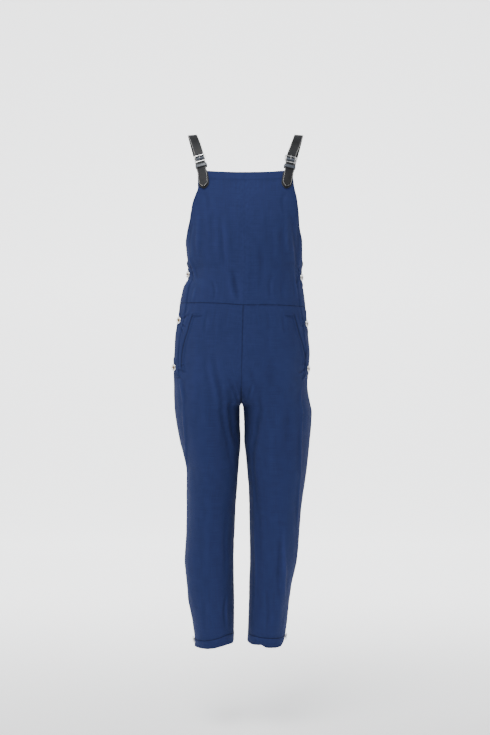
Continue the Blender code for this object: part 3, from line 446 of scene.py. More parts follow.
# Half width and depth, then x and height of each point, all in millimetres. On a side face,
# thousandths of a place around stand for x. A trough's depth is negative, a ridge's is positive.
CREASES = {
    Face.FRONT: (
        # Bib front.
        (5.5, -1.3, -30, -338, -23.5, -375, -16, -413),
        (6, 0.8, -40, -335, -36.3, -372, -28.3, -408),
        (7.5, 1.4, 73.2, -225, 73.5, -278, 70, -325),
        (7.5, -3, 112, -205, 120, -274, 124.5, -340),
        (7, 2.2, 99.5, -198, 97.2, -247, 101, -305),
        (6.5, 2.2, -110, -205, -112.5, -263, -111.5, -312),
        (6, -2, -125, -222, -131, -262, -129, -300),
        (8.5, -1.2, -83, -190, -79, -250, -83, -305),
        (8, 1, 0, -250, 3, -310, 1, -405),
        (8, -1.3, 30, -270, 37, -330, 33, -395),
        (8, -0.9, 52, -185, 49, -225, 51, -270),
        (9, 0.8, -20, -170, -24, -215, -19, -262),
        (5.5, -0.9, 94, -352, 87, -386, 92, -414),
        (6, -1.2, -98, -150, -88, -168, -86, -200),
        (6, -1.3, 98, -150, 88, -170, 89, -205),
        # Placket side of the waist and hips: the light lines that run down from the armhole.
        (4.5, 2.4, -134.5, -284, -127.3, -320, -119.4, -348, -114.7, -368),
        (4.2, 1.6, -116, -371, -121.5, -387, -126.2, -413),
        (4.5, 1.8, -129, -420, -136.9, -437, -146, -468),
        (4.5, 1.8, 116.5, -332, 121.5, -375, 126.2, -412),
        (4.5, 1.8, 127.5, -419, 132.3, -441, 137.6, -468),
        (3.5, 1.2, -150, -475, -153.5, -500, -155, -530, -154.5, -565),
        (3.5, 1.1, 140.5, -480, 143.2, -505, 144.6, -535, 144, -566),
        # Trouser fronts.
        (8.5, -2.6, -68, -505, -54.6, -644, -40.3, -739, -33.2, -834),
        (9, 1.6, -80, -520, -68, -640, -56, -745),
        (4.5, -1.2, -38.5, -590, -33.2, -608, -27.5, -625),
        (7.8, -2.4, 40, -600, 34.5, -655, 28.5, -700, 21.5, -760),
        (7, -2, 20.5, -740, 20, -800, 29, -930),
        (7, -1.1, -6, -575, -13, -600, -25, -632),
        (7.5, -1, 6, -560, 16, -590, 30, -622),
        (4.5, 2, 22.7, -905, 25.1, -980, 26.3, -1064, 26.3, -1147),
        (7, -1.6, 34, -880, 36, -985, 37, -1090),
        (5.2, 3, 92.3, -945, 91.1, -999, 92.3, -1079, 96.4, -1146),
        (6, -2, 81, -975, 80, -1060, 83, -1150),
        (10, 1.6, -82, -870, -90, -960, -93, -1080),
        (7.5, -1.8, -44, -900, -48, -980, -46, -1080),
        (7, -1.4, -96, -1120, -99, -1165, -97, -1210),
        (6, -1.6, 52, -1100, 56, -1155, 53, -1205),
        (11, 1.4, 64, -700, 60, -770, 64, -840),
        (11, -1.4, 95, -620, 101, -700, 96, -790),
        (11, -1.3, -118, -600, -113, -680, -115, -760),
        (7, -1, 50, -430, 55, -470, 50, -520),
        (7, 1.1, -60, -428, -66, -465, -64, -510),
        (5, -1.2, -90, -430, -95, -455, -99, -490),
        (5, -1.2, 85, -430, 90, -458, 93, -492),
        # Outer leg, along and behind the seam.
        (5, 2, -156.7, -592, -149.9, -619, -145.5, -650),
        (5, 1.8, -145, -665, -142, -736, -140, -815),
        (5, 1.8, 133.6, -690, 133.6, -745, 130, -820),
        (5, 2, 129.5, -830, 127.6, -881, 126, -965),
    ),
    Face.RIGHT: (
        # Outer leg, along and behind the seam.
        (9, -2, 1050, -620, 1120, -690, 1100, -780),
        (6, 1.5, 920, -640, 970, -700, 950, -770),
        (10, -1.8, 1150, -860, 1220, -960, 1180, -1080),
        (5.5, -1.4, 980, -375, 1100, -384, 1220, -398),
        (7.5, -1.4, 980, -440, 1040, -480, 1060, -530),
        # Inside of the legs.
        (7, -1.8, 100, -760, 20, -800, 60, -860),
        (8, -2, 1920, -700, 1850, -760, 1900, -850),
    ),
    Face.LEFT: (
        # Outer leg, along and behind the seam.
        (8.5, -2.2, 1020, -615, 1100, -700, 1050, -800),
        (6, 1.5, 900, -660, 940, -740, 930, -820),
        (9.5, -1.8, 1160, -880, 1200, -980, 1160, -1090),
        (5.5, -1.5, 980, -372, 1100, -386, 1240, -396),
        (7.5, -1.4, 1000, -445, 1050, -490, 1040, -545),
        # Inside of the legs.
        (7, -1.8, 100, -780, 30, -830, 60, -890),
        (8, -2, 1920, -710, 1860, -770, 1900, -850),
    ),
    Face.BACK: (
        # Bib back.
        (8.5, -2, -70, -235, -74, -290, -69, -345),
        (8.5, -2.2, 68, -230, 75, -290, 70, -350),
        (9, 1.4, -36, -250, -40, -310, -33, -370),
        (9, 1.4, 34, -245, 38, -300, 31, -365),
        (5.5, -2.6, -95, -330, -50, -345, -5, -338),
        (5.5, -2.6, 100, -335, 60, -350, 12, -346),
        (4.8, -1.8, -110, -388, -70, -400, -30, -396),
        (4.8, -1.8, 104, -392, 70, -402, 35, -399),
        (8, -1, -60, -190, -30, -203, 10, -199),
        # Seat and the backs of the legs.
        (7.5, -1.8, -60, -430, -75, -470, -78, -520),
        (7.5, -1.8, 52, -430, 66, -475, 68, -530),
        (7, 1.4, -30, -432, -34, -470, -28, -512),
        (6.5, -3.4, -18, -585, -45, -630, -90, -665),
        (6.5, -3.4, 4, -585, 34, -632, 80, -668),
        (7, -2.6, -30, -690, -60, -722, -110, -740),
        (7, -2.6, 18, -695, 50, -728, 90, -752),
        (11, -2.4, -70, -680, -78, -780, -72, -880),
        (11, -2.6, 58, -690, 66, -790, 62, -880),
        (6.5, -3.4, -110, -885, -80, -905, -45, -900),
        (5.5, -2.6, -105, -962, -78, -972, -48, -965),
        (6.5, -3.2, 102, -880, 75, -897, 36, -893),
        (5.5, -2.4, 100, -955, 72, -968, 36, -962),
        (8, -2.2, -82, -1030, -86, -1110, -78, -1190),
        (8, -2.2, 60, -1030, 66, -1105, 58, -1190),
    ),
}
# The same for creases of which one flank rises and the other falls.
PLEATS = {
    Face.FRONT: (
        (9, 1.3, -58, -205, -52, -262, -46, -330),
        (6, 0.8, 66, -345, 60, -378, 63, -412),
        (5, 0.7, -78, -356, -70, -388, -74, -414),
        (4.8, 1.5, -29, -600, -20, -628, -13, -648),
        (4.8, 1.4, 20, -604, 13, -626, 7, -648),
        (6, 1.6, -43, -1110, -48, -1160, -45, -1205),
    ),
    Face.RIGHT: (
        (7, 2, 1200, -600, 1280, -650, 1380, -705),
        (7, 1.8, 1180, -1090, 1250, -1140, 1200, -1200),
        (5, 1.8, 1000, -340, 1120, -348, 1260, -362),
    ),
    Face.LEFT: (
        (6.5, 2, 1180, -615, 1260, -660, 1360, -725),
        (7, 1.8, 1220, -1080, 1280, -1130, 1220, -1200),
        (5, 1.8, 1000, -345, 1120, -350, 1250, -368),
    ),
    Face.BACK: (
        (5, 2.2, -85, -362, -40, -376, 10, -370),
        (5, 2, 92, -368, 55, -382, 20, -378),
        (6, 3, -16, -620, -50, -662, -105, -700),
        (6, 2.8, 2, -622, 38, -664, 95, -708),
        (5.5, 3, -118, -925, -85, -940, -50, -930),
        (6, 2, -98, -1000, -72, -1008, -50, -1000),
        (5.5, 3, 96, -915, 70, -934, 30, -926),
        (6, 2, 90, -992, 66, -1003, 38, -998),
        (6, 1.8, -52, -1090, -58, -1150, -50, -1205),
        (6, 1.8, 40, -1085, 44, -1150, 38, -1205),
    ),
}


class WornForm:
    """The form on which every piece of cloth lies.

    Attributes:
        section: Curves of the body's section against height.
        inside: Curves of the legs' inner edges against height.
        lines: Curves of the side line against height.
        hems: Curves of the hem lines around each leg.
        back_edge: The bib back's free edge against height.
        mouth: Curves of the pocket mouths against height.
    """

    def __init__(self) -> None:
        """Reads the tables into curves and lays the creases on the plain form."""
        self.section = curves_of("centre right left front back square", SECTIONS)
        self.inside = curves_of("right left", LEG_INSIDE)
        self.lines = curves_of("right left", SIDE_LINE)
        self.hems = curves_of("right_seam right_edge left_seam left_edge", HEM_LINE)
        self.back_edge = curves_of("around", BACK_EDGE)["around"]
        self.mouth = curves_of("right left", POCKET_MOUTH)
        self.broad_noise = SoftNoise(0.085, 5, stretch=1.8)
        self.fine_noise = SoftNoise(0.028, 11, stretch=1.6)
        self.pucker_noise = SoftNoise(0.0105, 23, count=9)
        self.folds = self._lay_folds()

    def reach(self, side: int, height: np.ndarray) -> np.ndarray:
        """How far the outline lies from the centre line on one side."""
        outline = self.section[Side(side).word].at(height)
        return outline - side * self.section["centre"].at(height)

    def inner(self, side: int, height: np.ndarray, gap: float) -> np.ndarray:
        """Distance of the inner edge from the centre line: a seam's gap above the crotch."""
        parted = np.where(height < CROTCH, self.inside[Side(side).word].at(height), 0.0)
        return np.maximum(parted, gap)

    def across(self, side: int, turn: np.ndarray, height: np.ndarray, gap: float = 0.0) -> np.ndarray:
        """Distance from the centre line at a turn.

        Args:
            side: The wearer's side.
            turn: From 0 at the centre to 1 at the side.
            height: Height of each place.
            gap: Half the centre seam's gap.

        Returns:
            The distances.
        """
        square = self.section["square"].at(height)
        reach = self.reach(side, height)
        inside = self.inner(side, height, gap)
        body = inside + (reach - inside) * np.sin(turn * math.pi / 2) ** (2 / square)
        swing = np.sin((2 * turn - 1) * math.pi / 2)
        half = (reach - inside) / 2
        leg = inside + half * (1 + np.sign(swing) * np.abs(swing) ** (2 / LEG_SQUARE))
        return mix(body, leg, smooth_step(height, LEG_SHAPE_TOP, CROTCH))

    def plain(self, side: int, around: np.ndarray, height: np.ndarray, gap: float = 0.0) -> np.ndarray:
        """Points of the form before any fold.

        Args:
            side: The wearer's side.
            around: Places around the section.
            height: Their heights.
            gap: Half the centre seam's gap.

        Returns:
            The points.
        """
        around, height = np.broadcast_arrays(np.asarray(around, float), np.asarray(height, float))
        behind = around > 1
        turn = np.where(behind, 2 - around, around)
        square = self.section["square"].at(height)
        front = self.section["front"].at(height)
        back = self.section["back"].at(height)
        reach = self.reach(side, height)
        inside = self.inner(side, height, gap)
        across = self.across(side, turn, height, gap)
        sign = np.where(behind, 1.0, -1.0)

        fullness = mix(1.0, THIGH_FULLNESS, smooth_step(height, -0.50, CROTCH))
        rounding = np.clip(1 - np.clip(across / reach, 0, 1) ** square, 0, 1) ** (1 / square)
        body_y = sign * np.where(behind, back, front) * fullness * rounding

        half = (reach - inside) / 2
        off_middle = np.clip(np.abs(across - inside - half) / half, 0, 1)
        leg_round = np.clip(1 - off_middle**LEG_SQUARE, 0, 1) ** (1 / LEG_SQUARE)
        leg_y = (back - front) / 2 + sign * (front + back) / 2 * leg_round

        fork_top = np.where(behind, FORK_TOP_BACK, FORK_TOP_FRONT)
        t = np.clip((fork_top - height) / (fork_top - CROTCH), 0, 1)
        fork = 1 - np.sqrt(1 - t * t)
        inward = np.clip(np.cos(turn * math.pi), 0, 1) ** 4
        spread = smooth_step(height, SPREAD_TOP, SPREAD_END)
        y = mix(body_y, leg_y, mix(spread, fork, inward))
        x = self.section["centre"].at(height) + side * across
        return np.stack([x, y, height], axis=-1)

    def normal(self, side: int, around: np.ndarray, height: np.ndarray, gap: float = 0.0) -> np.ndarray:
        """Outward directions of the plain form at places."""
        turn_step = 0.004
        height_step = 0.0015
        around, height = np.broadcast_arrays(np.asarray(around, float), np.asarray(height, float))
        later = self.plain(side, np.minimum(around + turn_step, 2.0), height, gap)
        sooner = self.plain(side, np.maximum(around - turn_step, 0.0), height, gap)
        lower = self.plain(side, around, height - height_step, gap)
        higher = self.plain(side, around, height + height_step, gap)
        return unit(side * np.cross(lower - higher, later - sooner))

    def around_at(
        self, side: int, distance: np.ndarray, height: np.ndarray, behind: bool = False
    ) -> np.ndarray:
        """The place around the section that lies this far from the centre line.

        Args:
            side: The wearer's side.
            distance: Distances from the centre line.
            height: Their heights.
            behind: Whether the place is on the back.

        Returns:
            The places around.
        """
        low = np.zeros(np.broadcast(distance, height).shape)
        high = np.ones_like(low)
        for _ in range(32):
            middle = (low + high) / 2
            short = self.across(side, middle, height) < distance
            low = np.where(short, middle, low)
            high = np.where(short, high, middle)
        return 2 - low if behind else low

    def side_line(self, side: int, height: np.ndarray) -> np.ndarray:
        """The place around of the line between front and back."""
        return self.lines[Side(side).word].at(height)

    def turn_speed(self, side: int, around: np.ndarray, height: np.ndarray) -> np.ndarray:
        """Metres of cloth for each quarter turn, near a place."""
        there = self.plain(side, around + 0.01, height)
        here = self.plain(side, around - 0.01, height)
        return np.linalg.norm(there - here, axis=-1) / 0.02

    def beside(self, side: int, distance: float, height: np.ndarray) -> np.ndarray:
        """The place this many metres of cloth behind the side line, or before it if negative."""
        line = self.side_line(side, height)
        return line + distance / self.turn_speed(side, line, height)

    def waist(self, side: int, around: np.ndarray) -> np.ndarray:
        """Height of the waist seam, which tilts a little and dips at the centre front."""
        x = self.plain(side, around, WAIST)[..., 0]
        dip = WAIST_DIP * np.exp(-((x / WAIST_DIP_WIDTH) ** 2)) * (np.asarray(around) < 1)
        return WAIST + WAIST_TILT * x - dip

    def hem(self, side: int, around: np.ndarray, line: str = "seam") -> np.ndarray:
        """Height of the hem seam or of the band's lower edge around a leg."""
        return self.hems[f"{Side(side).word}_{line}"].at(around)

    def trouser_height(self, side: int, around: np.ndarray, row: float) -> np.ndarray:
        """Height of a row of the trouser panels, which crowd where they curve under at the fork.

        Args:
            side: The wearer's side.
            around: Places around the section.
            row: The row, with parts of a row allowed.

        Returns:
            The heights.
        """
        turn = np.where(around > 1, 2 - around, around)
        waist = self.waist(side, around) - MEET
        hem = self.hem(side, around) + MEET
        fork_row = ROWS_TO_FORK + FORK_ROWS
        fork_top = np.where(around > 1, FORK_TOP_BACK, FORK_TOP_FRONT)
        if row <= ROWS_TO_FORK:
            inner = mix(waist, fork_top, row / ROWS_TO_FORK)
        elif row <= fork_row:
            angle = (row - ROWS_TO_FORK) / FORK_ROWS * math.pi / 2
            inner = mix(fork_top, CROTCH, math.sin(angle))
        else:
            inner = mix(CROTCH, hem, (row - fork_row) / LEG_ROWS)
        if row <= fork_row:
            outer = mix(waist, CROTCH, row / fork_row)
        else:
            outer = mix(CROTCH, hem, (row - fork_row) / LEG_ROWS)
        nearness = np.cos(turn.clip(0, 1) * math.pi / 2) ** 4
        return mix(outer, inner, nearness)

    def _lay_folds(self) -> list[Fold]:
        """Lays the main folds, the creases and the pulls at the snaps on the plain form."""
        laid = []
        for side, *ends, width, depth in MAIN_FOLDS:
            laid.append(self._lay(side, np.reshape(ends, (2, 2)), (width, depth)))
        for table, pleat in ((CREASES, False), (PLEATS, True)):
            for face, rows in table.items():
                laid += [self._lay_crease(face, row, pleat) for row in rows]
        for number, heights in enumerate(SNAP_HEIGHTS.values()):
            for side in Side:
                laid += self._snap_pulls(side, heights[side], number)
        return laid

    def _lay(
        self, side: int, places: np.ndarray, size: Sequence[float], pleat: bool = False, at: int = 0
    ) -> Fold:
        """A fold of this half width and depth through places; the outward direction is read at one."""
        return Fold(side, self.plain(side, *places.T), self.normal(side, *places[at]), *size, pleat)

    def _lay_crease(self, face: Face, row: Sequence[float], pleat: bool) -> Fold:
        """A smooth crease on a face.

        Args:
            face: How its points are given.
            row: Its row of the table, in millimetres.
            pleat: Whether it is a pleat.

        Returns:
            The fold.
        """
        width, depth, *given = np.array(row) / 1000
        first, height = np.reshape(given, (-1, 2)).T
        if face in (Face.FRONT, Face.BACK):
            off = first - self.section["centre"].at(height)
            side = 1 if np.mean(off) > 0 else -1
            first = self.around_at(side, np.maximum(side * off, 0.0), height, face is Face.BACK)
        else:
            side = 1 if face is Face.LEFT else -1
        last = len(height) - 1
        t = np.linspace(0, last, 4 * last + 1)
        lines = [Curve.through(range(last + 1), line).at(t) for line in (first, height)]
        return self._lay(side, np.stack(lines, axis=-1), (width, depth), pleat, len(t) // 2)

    def _snap_pulls(self, side: int, height: float, number: int) -> list[Fold]:
        """Short creases that run out from a snap, uneven in length, depth and direction."""
        random = np.random.default_rng(40 + 2 * number + (side > 0))
        start = float(self.beside(side, SNAP_ACROSS, np.array(height)))
        pulls = []
        for degrees in (-155, -115, -60, -20, 25, 70, 120, 160):
            angle = math.radians(degrees + random.uniform(-12, 12))
            ends = np.array((0.007, random.uniform(0.022, 0.040)))
            arounds = start + math.cos(angle) * ends / QUARTER_TURN
            places = np.stack([arounds, height + math.sin(angle) * ends], axis=-1)
            size = (random.uniform(0.0022, 0.0034), random.uniform(0.0008, 0.0016))
            pulls.append(self._lay(side, places, size, True))
        return pulls

    def fold_relief(self, side: int, points: np.ndarray) -> np.ndarray:
        """How far folds and creases move points of the plain form outwards.

        Args:
            side: The wearer's side that the points are on.
            points: The points.

        Returns:
            Distances along the outward direction.
        """
        relief = np.zeros(points.shape[:-1])
        for fold in self.folds:
            reach = 3.2 * fold.width
            inside = (points > fold.line.min(axis=0) - reach) & (points < fold.line.max(axis=0) + reach)
            near = np.all(inside, axis=-1)
            if fold.side != side:
                near &= points[..., 2] > CROTCH
            if not near.any():
                continue
            chosen = points[near]
            off, share, signed = distance_to_line(chosen, fold.line, fold.out)
            if fold.pleat:
                scaled = signed / fold.width
                shape = 1.3 * scaled * np.exp(0.5 - scaled**2)
            else:
                shape = np.exp(-((off / fold.width) ** 2))
            taper = np.sin(math.pi * share) ** 0.8
            relief[near] += fold.depth * shape * taper * self._shared(fold.side == side, chosen)
        return relief

    def _shared(self, own: bool, points: np.ndarray) -> np.ndarray:
        """How much of a fold both sides show, so that they meet at the centre above the crotch."""
        above = smooth_step(points[:, 2], CROTCH, CROTCH + 0.04)
        if not own:
            return above
        apart = np.abs(points[:, 0] - self.section["centre"].at(points[:, 2]))
        return mix(above, 1.0, smooth_step(apart, 0.0, JOIN_WIDTH))

    def straightened(self, directions: np.ndarray, points: np.ndarray) -> np.ndarray:
        """Directions with no part across the body at the centre above the crotch, where panels meet."""
        apart = np.abs(points[..., 0] - self.section["centre"].at(points[..., 2]))
        free = np.where(points[..., 2] > CROTCH - 0.004, smooth_step(apart, 0.0, JOIN_WIDTH), 1.0)
        result = directions.copy()
        result[..., 0] *= free
        return result

    def mouth_at(self, side: int, height: np.ndarray) -> np.ndarray:
        """Distance of the pocket's mouth from the centre line."""
        return self.mouth[Side(side).word].at(height) - side * self.section["centre"].at(height)

    def seam_distance(self, side: int, around: np.ndarray, height: np.ndarray) -> np.ndarray:
        """Distance of places from the waist and hem seams and, less sharply, from the centre seams."""
        waist = self.waist(side, around)
        above = height > waist
        centre = np.minimum(around, 2 - around) * QUARTER_TURN + CENTRE_SEAM_SOFT * (1 + above)
        centre = np.where(above & (around > 1), 1.0, centre)
        level = np.minimum(np.abs(height - waist), np.abs(height - self.hem(side, around)))
        return np.minimum(centre, level)

    def edge_distance(self, side: int, around: np.ndarray, height: np.ndarray) -> np.ndarray:
        """Distance of places from the line between front and back."""
        line = self.plain(side, self.side_line(side, height), height)
        return np.linalg.norm(self.plain(side, around, height) - line, axis=-1)

    def cloth(
        self, side: int, around: np.ndarray, height: np.ndarray, lift: object = 0.0, gap: float = 0.0
    ) -> np.ndarray:
        """Points of the cloth's outer face with all its folds.

        Args:
            side: The wearer's side.
            around: Places around the section.
            height: Their heights.
            lift: How far above the cloth's face, as one number or one for each place.
            gap: Half the centre seam's gap.

        Returns:
            The points.
        """
        around, height = np.broadcast_arrays(np.asarray(around, float), np.asarray(height, float))
        points = self.plain(side, around, height, gap)
        out = self.straightened(self.normal(side, around, height, gap), points)
        seam = self.seam_distance(side, around, height)
        edge = self.edge_distance(side, around, height)
        relief = self.fold_relief(side, points)
        relief += BROAD_WAVES * self.broad_noise.at(points) + FINE_WAVES * self.fine_noise.at(points)
        near = np.exp(-np.minimum(seam, edge) / PUCKER_REACH)
        relief += PUCKERS * self.pucker_noise.at(points) * near
        relief -= SEAM_GROOVE * np.exp(-((seam / SEAM_GROOVE_WIDTH) ** 2))
        below_placket = smooth_step(-height, 0.600, 0.625)
        relief += OUTSEAM_RIDGE * below_placket * np.exp(-((edge / OUTSEAM_WIDTH) ** 2))
        return points + out * (relief + lift)[..., None]


def distance_to_line(
    points: np.ndarray, line: np.ndarray, out: np.ndarray
) -> tuple[np.ndarray, np.ndarray, np.ndarray]:
    """Distance of points from a line of straight runs.

    Args:
        points: The points.
        line: The line's points.
        out: The outward direction of the surface near the line.

    Returns:
        The distances, the shares of the line's length at the nearest places, and the distances
        with a sign that tells on which side of the line a point lies.
    """
    lengths = np.concatenate([[0], np.cumsum(np.linalg.norm(np.diff(line, axis=0), axis=1))])
    best = np.full(len(points), np.inf)
    share = np.zeros(len(points))
    signed = np.zeros(len(points))
    for k in range(len(line) - 1):
        run = line[k + 1] - line[k]
        t = np.clip((points - line[k]) @ run / (run @ run), 0, 1)
        away = points - line[k] - t[:, None] * run
        off = np.linalg.norm(away, axis=1)
        closer = off < best
        best = np.where(closer, off, best)
        share = np.where(closer, (lengths[k] + t * (lengths[k + 1] - lengths[k])) / lengths[-1], share)
        sign = np.sign(away @ np.cross(out, run))
        signed = np.where(closer, off * sign, signed)
    return best, share, signed


# --- Finishes -------------------------------------------------------------------------------------


def add_node(
    tree: bpy.types.NodeTree, kind: str, inputs: dict[str | int, object], **settings: object
) -> bpy.types.Node:
    """Adds a node to a tree.

    Args:
        tree: The tree.
        kind: The node's type.
        inputs: A link or a fixed value for each input that is given.
        **settings: The node's other settings.

    Returns:
        The node.
    """
    node = tree.nodes.new(kind)
    for key, value in settings.items():
        setattr(node, key, value)
    for key, value in inputs.items():
        if isinstance(value, bpy.types.NodeSocket):
            tree.links.new(value, node.inputs[key])
        else:
            node.inputs[key].default_value = value
    return node


class NodeBench:
    """Builds a material's nodes with few words."""

    def __init__(self, name: str) -> None:
        """Makes an empty material.

        Args:
            name: Its name.
        """
        self.material = bpy.data.materials.new(name)
        self.material.use_nodes = True
        self.tree = self.material.node_tree
        coords = add_node(self.tree, "ShaderNodeTexCoord", {})
        self.place = coords.outputs["Object"]
        self.uv = coords.outputs["UV"]

    def math(self, operation: str, first: object, second: object = 0.0) -> bpy.types.NodeSocket:
        """The result of a sum on numbers or sockets."""
        return add_node(self.tree, "ShaderNodeMath", {0: first, 1: second}, operation=operation).outputs[0]

    def plus(self, *values: object) -> bpy.types.NodeSocket:
        """Numbers or sockets added up."""
        return functools.reduce(functools.partial(self.math, "ADD"), values)

    def times(self, *values: object) -> bpy.types.NodeSocket:
        """Numbers or sockets multiplied."""
        return functools.reduce(functools.partial(self.math, "MULTIPLY"), values)

    def axes(self, source: bpy.types.NodeSocket) -> Sequence[bpy.types.NodeSocket]:
        """Coordinates one by one."""
        return add_node(self.tree, "ShaderNodeSeparateXYZ", {0: source}).outputs

    def scaled(self, source: bpy.types.NodeSocket, scale: tuple[float, float, float]) -> bpy.types.NodeSocket:
        """Coordinates stretched by a Mapping node."""
        return add_node(self.tree, "ShaderNodeMapping", {"Vector": source, "Scale": scale}).outputs[0]

    def noise(self, source: bpy.types.NodeSocket, scale: float, detail: float = 2.0) -> bpy.types.NodeSocket:
        """A noise value on coordinates."""
        inputs = {"Vector": source, "Scale": scale, "Detail": detail}
        return add_node(self.tree, "ShaderNodeTexNoise", inputs).outputs["Fac"]

    def attribute(self, name: str) -> bpy.types.NodeSocket:
        """A number that the mesh carries at each point."""
        return add_node(self.tree, "ShaderNodeAttribute", {}, attribute_name=name).outputs["Fac"]

    def ramp(
        self, value: bpy.types.NodeSocket, span: tuple[float, float], result: tuple[float, float]
    ) -> bpy.types.NodeSocket:
        """A value moved from one span to another and held at its ends."""
        inputs = dict(zip(("Value", "From Min", "From Max", "To Min", "To Max"), (value, *span, *result)))
        return add_node(self.tree, "ShaderNodeMapRange", inputs, interpolation_type="SMOOTHSTEP").outputs[0]

    def blend(self, share: object, first: object, second: object) -> bpy.types.NodeSocket:
        """A colour between two colours."""
        node = add_node(self.tree, "ShaderNodeMix", {"Factor": share}, data_type="RGBA")
        colours = [socket for socket in node.inputs if socket.type == "RGBA"]
        self.feed(colours[0], first)
        self.feed(colours[1], second)
        return next(socket for socket in node.outputs if socket.type == "RGBA")

    def shade(self, colour: tuple[float, float, float], value: bpy.types.NodeSocket) -> bpy.types.NodeSocket:
        """A colour made lighter or darker by a value around 1."""
        inputs = {"Color": (*colour, 1.0), "Value": value}
        return add_node(self.tree, "ShaderNodeHueSaturation", inputs).outputs["Color"]

    def bump(self, height: bpy.types.NodeSocket, strength: float, distance: float) -> None:
        """Links a bump of this height to the shader."""
        inputs = {"Strength": strength, "Distance": distance, "Height": height}
        self.set(normal=add_node(self.tree, "ShaderNodeBump", inputs).outputs["Normal"])

    def feed(self, socket: bpy.types.NodeSocket, value: object) -> None:
        """Gives a socket a link or a fixed value."""
        if isinstance(value, bpy.types.NodeSocket):
            self.tree.links.new(value, socket)
        else:
            socket.default_value = value

    def set(self, **sockets: object) -> None:
        """Sets the shader's sockets; a word's underscores stand for spaces."""
        shader = self.tree.nodes["Principled BSDF"]
        for key, value in sockets.items():
            self.feed(shader.inputs[key.replace("_", " ").title().replace("Ior", "IOR")], value)


@dataclass(frozen=True)
class ClothFinish:
    """Navy cloth in a fine plain weave with faint slubs and a soft sheen, with painted shade in its folds,
    seams and pocket mouths and painted highlight on its ridges.

    Attributes:
        name: The material's name.
        colour: Its colour.
        thread_pitch: Distance between threads.
        slub: How much the slubs change its lightness.
        mottle: How much the slow changes of tone do.
        shown_weave: How much the single threads do.
    """

    name: str = "navy_weave"
    colour: tuple[float, float, float] = (0.0172, 0.0262, 0.0900)
    thread_pitch: float = 0.0008
    slub: float = 0.36
    mottle: float = 0.22
    shown_weave: float = 0.05

    @functools.cache
    def material(self) -> bpy.types.Material:
        """The finish as nodes on the piece's UV map, in metres."""
        bench = NodeBench(self.name)
        turns = 2 * math.pi / self.thread_pitch
        across, along, _ = bench.axes(bench.uv)
        waves = [bench.math("SINE", bench.times(axis, turns)) for axis in (across, along)]
        weave = bench.times(*waves)
        cross_slub = bench.noise(bench.scaled(bench.uv, (22.0, 900.0, 1.0)), 1.0)
        long_slub = bench.noise(bench.scaled(bench.uv, (700.0, 16.0, 1.0)), 1.0)
        mottle = bench.noise(bench.scaled(bench.place, (1.0, 1.0, 0.6)), 14.0, 3.0)
        value = bench.times(weave, self.shown_weave)
        for noise, amount in ((cross_slub, self.slub), (long_slub, self.slub), (mottle, self.mottle)):
            value = bench.plus(value, bench.times(bench.plus(noise, -0.5), amount))
        # Painted shade in the troughs of folds and creases and painted highlight on their ridges, from the
        # relief's fine detail; the ridges are partly faded by rubbing too.
        fold_shade_and_ridge_highlight = bench.ramp(bench.attribute("relief"), (-0.0016, 0.0016), (0.76, 1.32))
        # Painted shade along seams and the pocket mouths, deepest on the line, where shade falls in their
        # grooves.
        seam = bench.ramp(bench.attribute("seam"), (0.0, 0.0014), (0.38, 1.0))
        bench.set(base_color=bench.shade(self.colour, bench.times(bench.plus(value, 1.0), fold_shade_and_ridge_highlight, seam)))
        bench.set(roughness=bench.ramp(long_slub, (0.3, 0.7), (0.84, 0.96)))
        slubs = bench.plus(bench.times(cross_slub, 0.9), bench.times(long_slub, 0.6))
        bench.bump(bench.plus(bench.times(weave, 0.45), slubs), 0.5, 0.00035)
        bench.set(sheen_weight=0.04, sheen_roughness=0.45, sheen_tint=(0.55, 0.66, 0.95, 1.0))
        bench.set(specular_ior_level=0.12)
        return bench.material


@dataclass(frozen=True)
class LeatherFinish:
    """Black leather with a fine grain and edges rubbed lighter, and a painted blue-grey sheen where it bulges
    over a buckle's pin and along a keeper's middle.

    Attributes:
        name: The material's name.
        colour: Its colour.
        scuff_and_sheen_colour: Colour of its rubbed edges and of its painted sheen.
        roughness: Lowest and highest roughness.
        gloss: Weight of a clear coat.
        grain: Grains in a metre.
    """

    name: str = "black_leather"
    colour: tuple[float, float, float] = (0.0125, 0.0130, 0.0150)
    scuff_and_sheen_colour: tuple[float, float, float] = (0.105, 0.122, 0.155)
    roughness: tuple[float, float] = (0.42, 0.58)
    gloss: float = 0.0
    grain: float = 950.0

    @functools.cache
    def material(self) -> bpy.types.Material:
        """The finish as nodes on Object coordinates."""
        bench = NodeBench(self.name)
        inputs = {"Vector": bench.place, "Scale": self.grain}
        cells = add_node(bench.tree, "ShaderNodeTexVoronoi", inputs, feature="DISTANCE_TO_EDGE")
        grain = bench.ramp(cells.outputs["Distance"], (0.0, 0.25), (0.0, 1.0))
        creases = bench.noise(bench.place, 260.0, 4.0)
        mottle = bench.noise(bench.place, 55.0, 3.0)
        # Painted sheen where leather bulges over a pin and along a keeper's middle, and rubbed lighter edges:
        # both blend towards the pale blue-grey.
        wear = bench.times(bench.attribute("wear"), bench.ramp(creases, (0.30, 0.70), (0.55, 1.0)))
        base = bench.shade(self.colour, bench.ramp(mottle, (0.3, 0.7), (0.75, 1.3)))
        bench.bump(bench.plus(grain, bench.times(creases, 0.8)), 0.35, 0.00025)
        bench.set(base_color=bench.blend(wear, base, (*self.scuff_and_sheen_colour, 1.0)))
        bench.set(roughness=bench.ramp(mottle, (0.3, 0.7), self.roughness), specular_ior_level=0.22)
        bench.set(coat_weight=self.gloss, coat_roughness=0.22)
        return bench.material


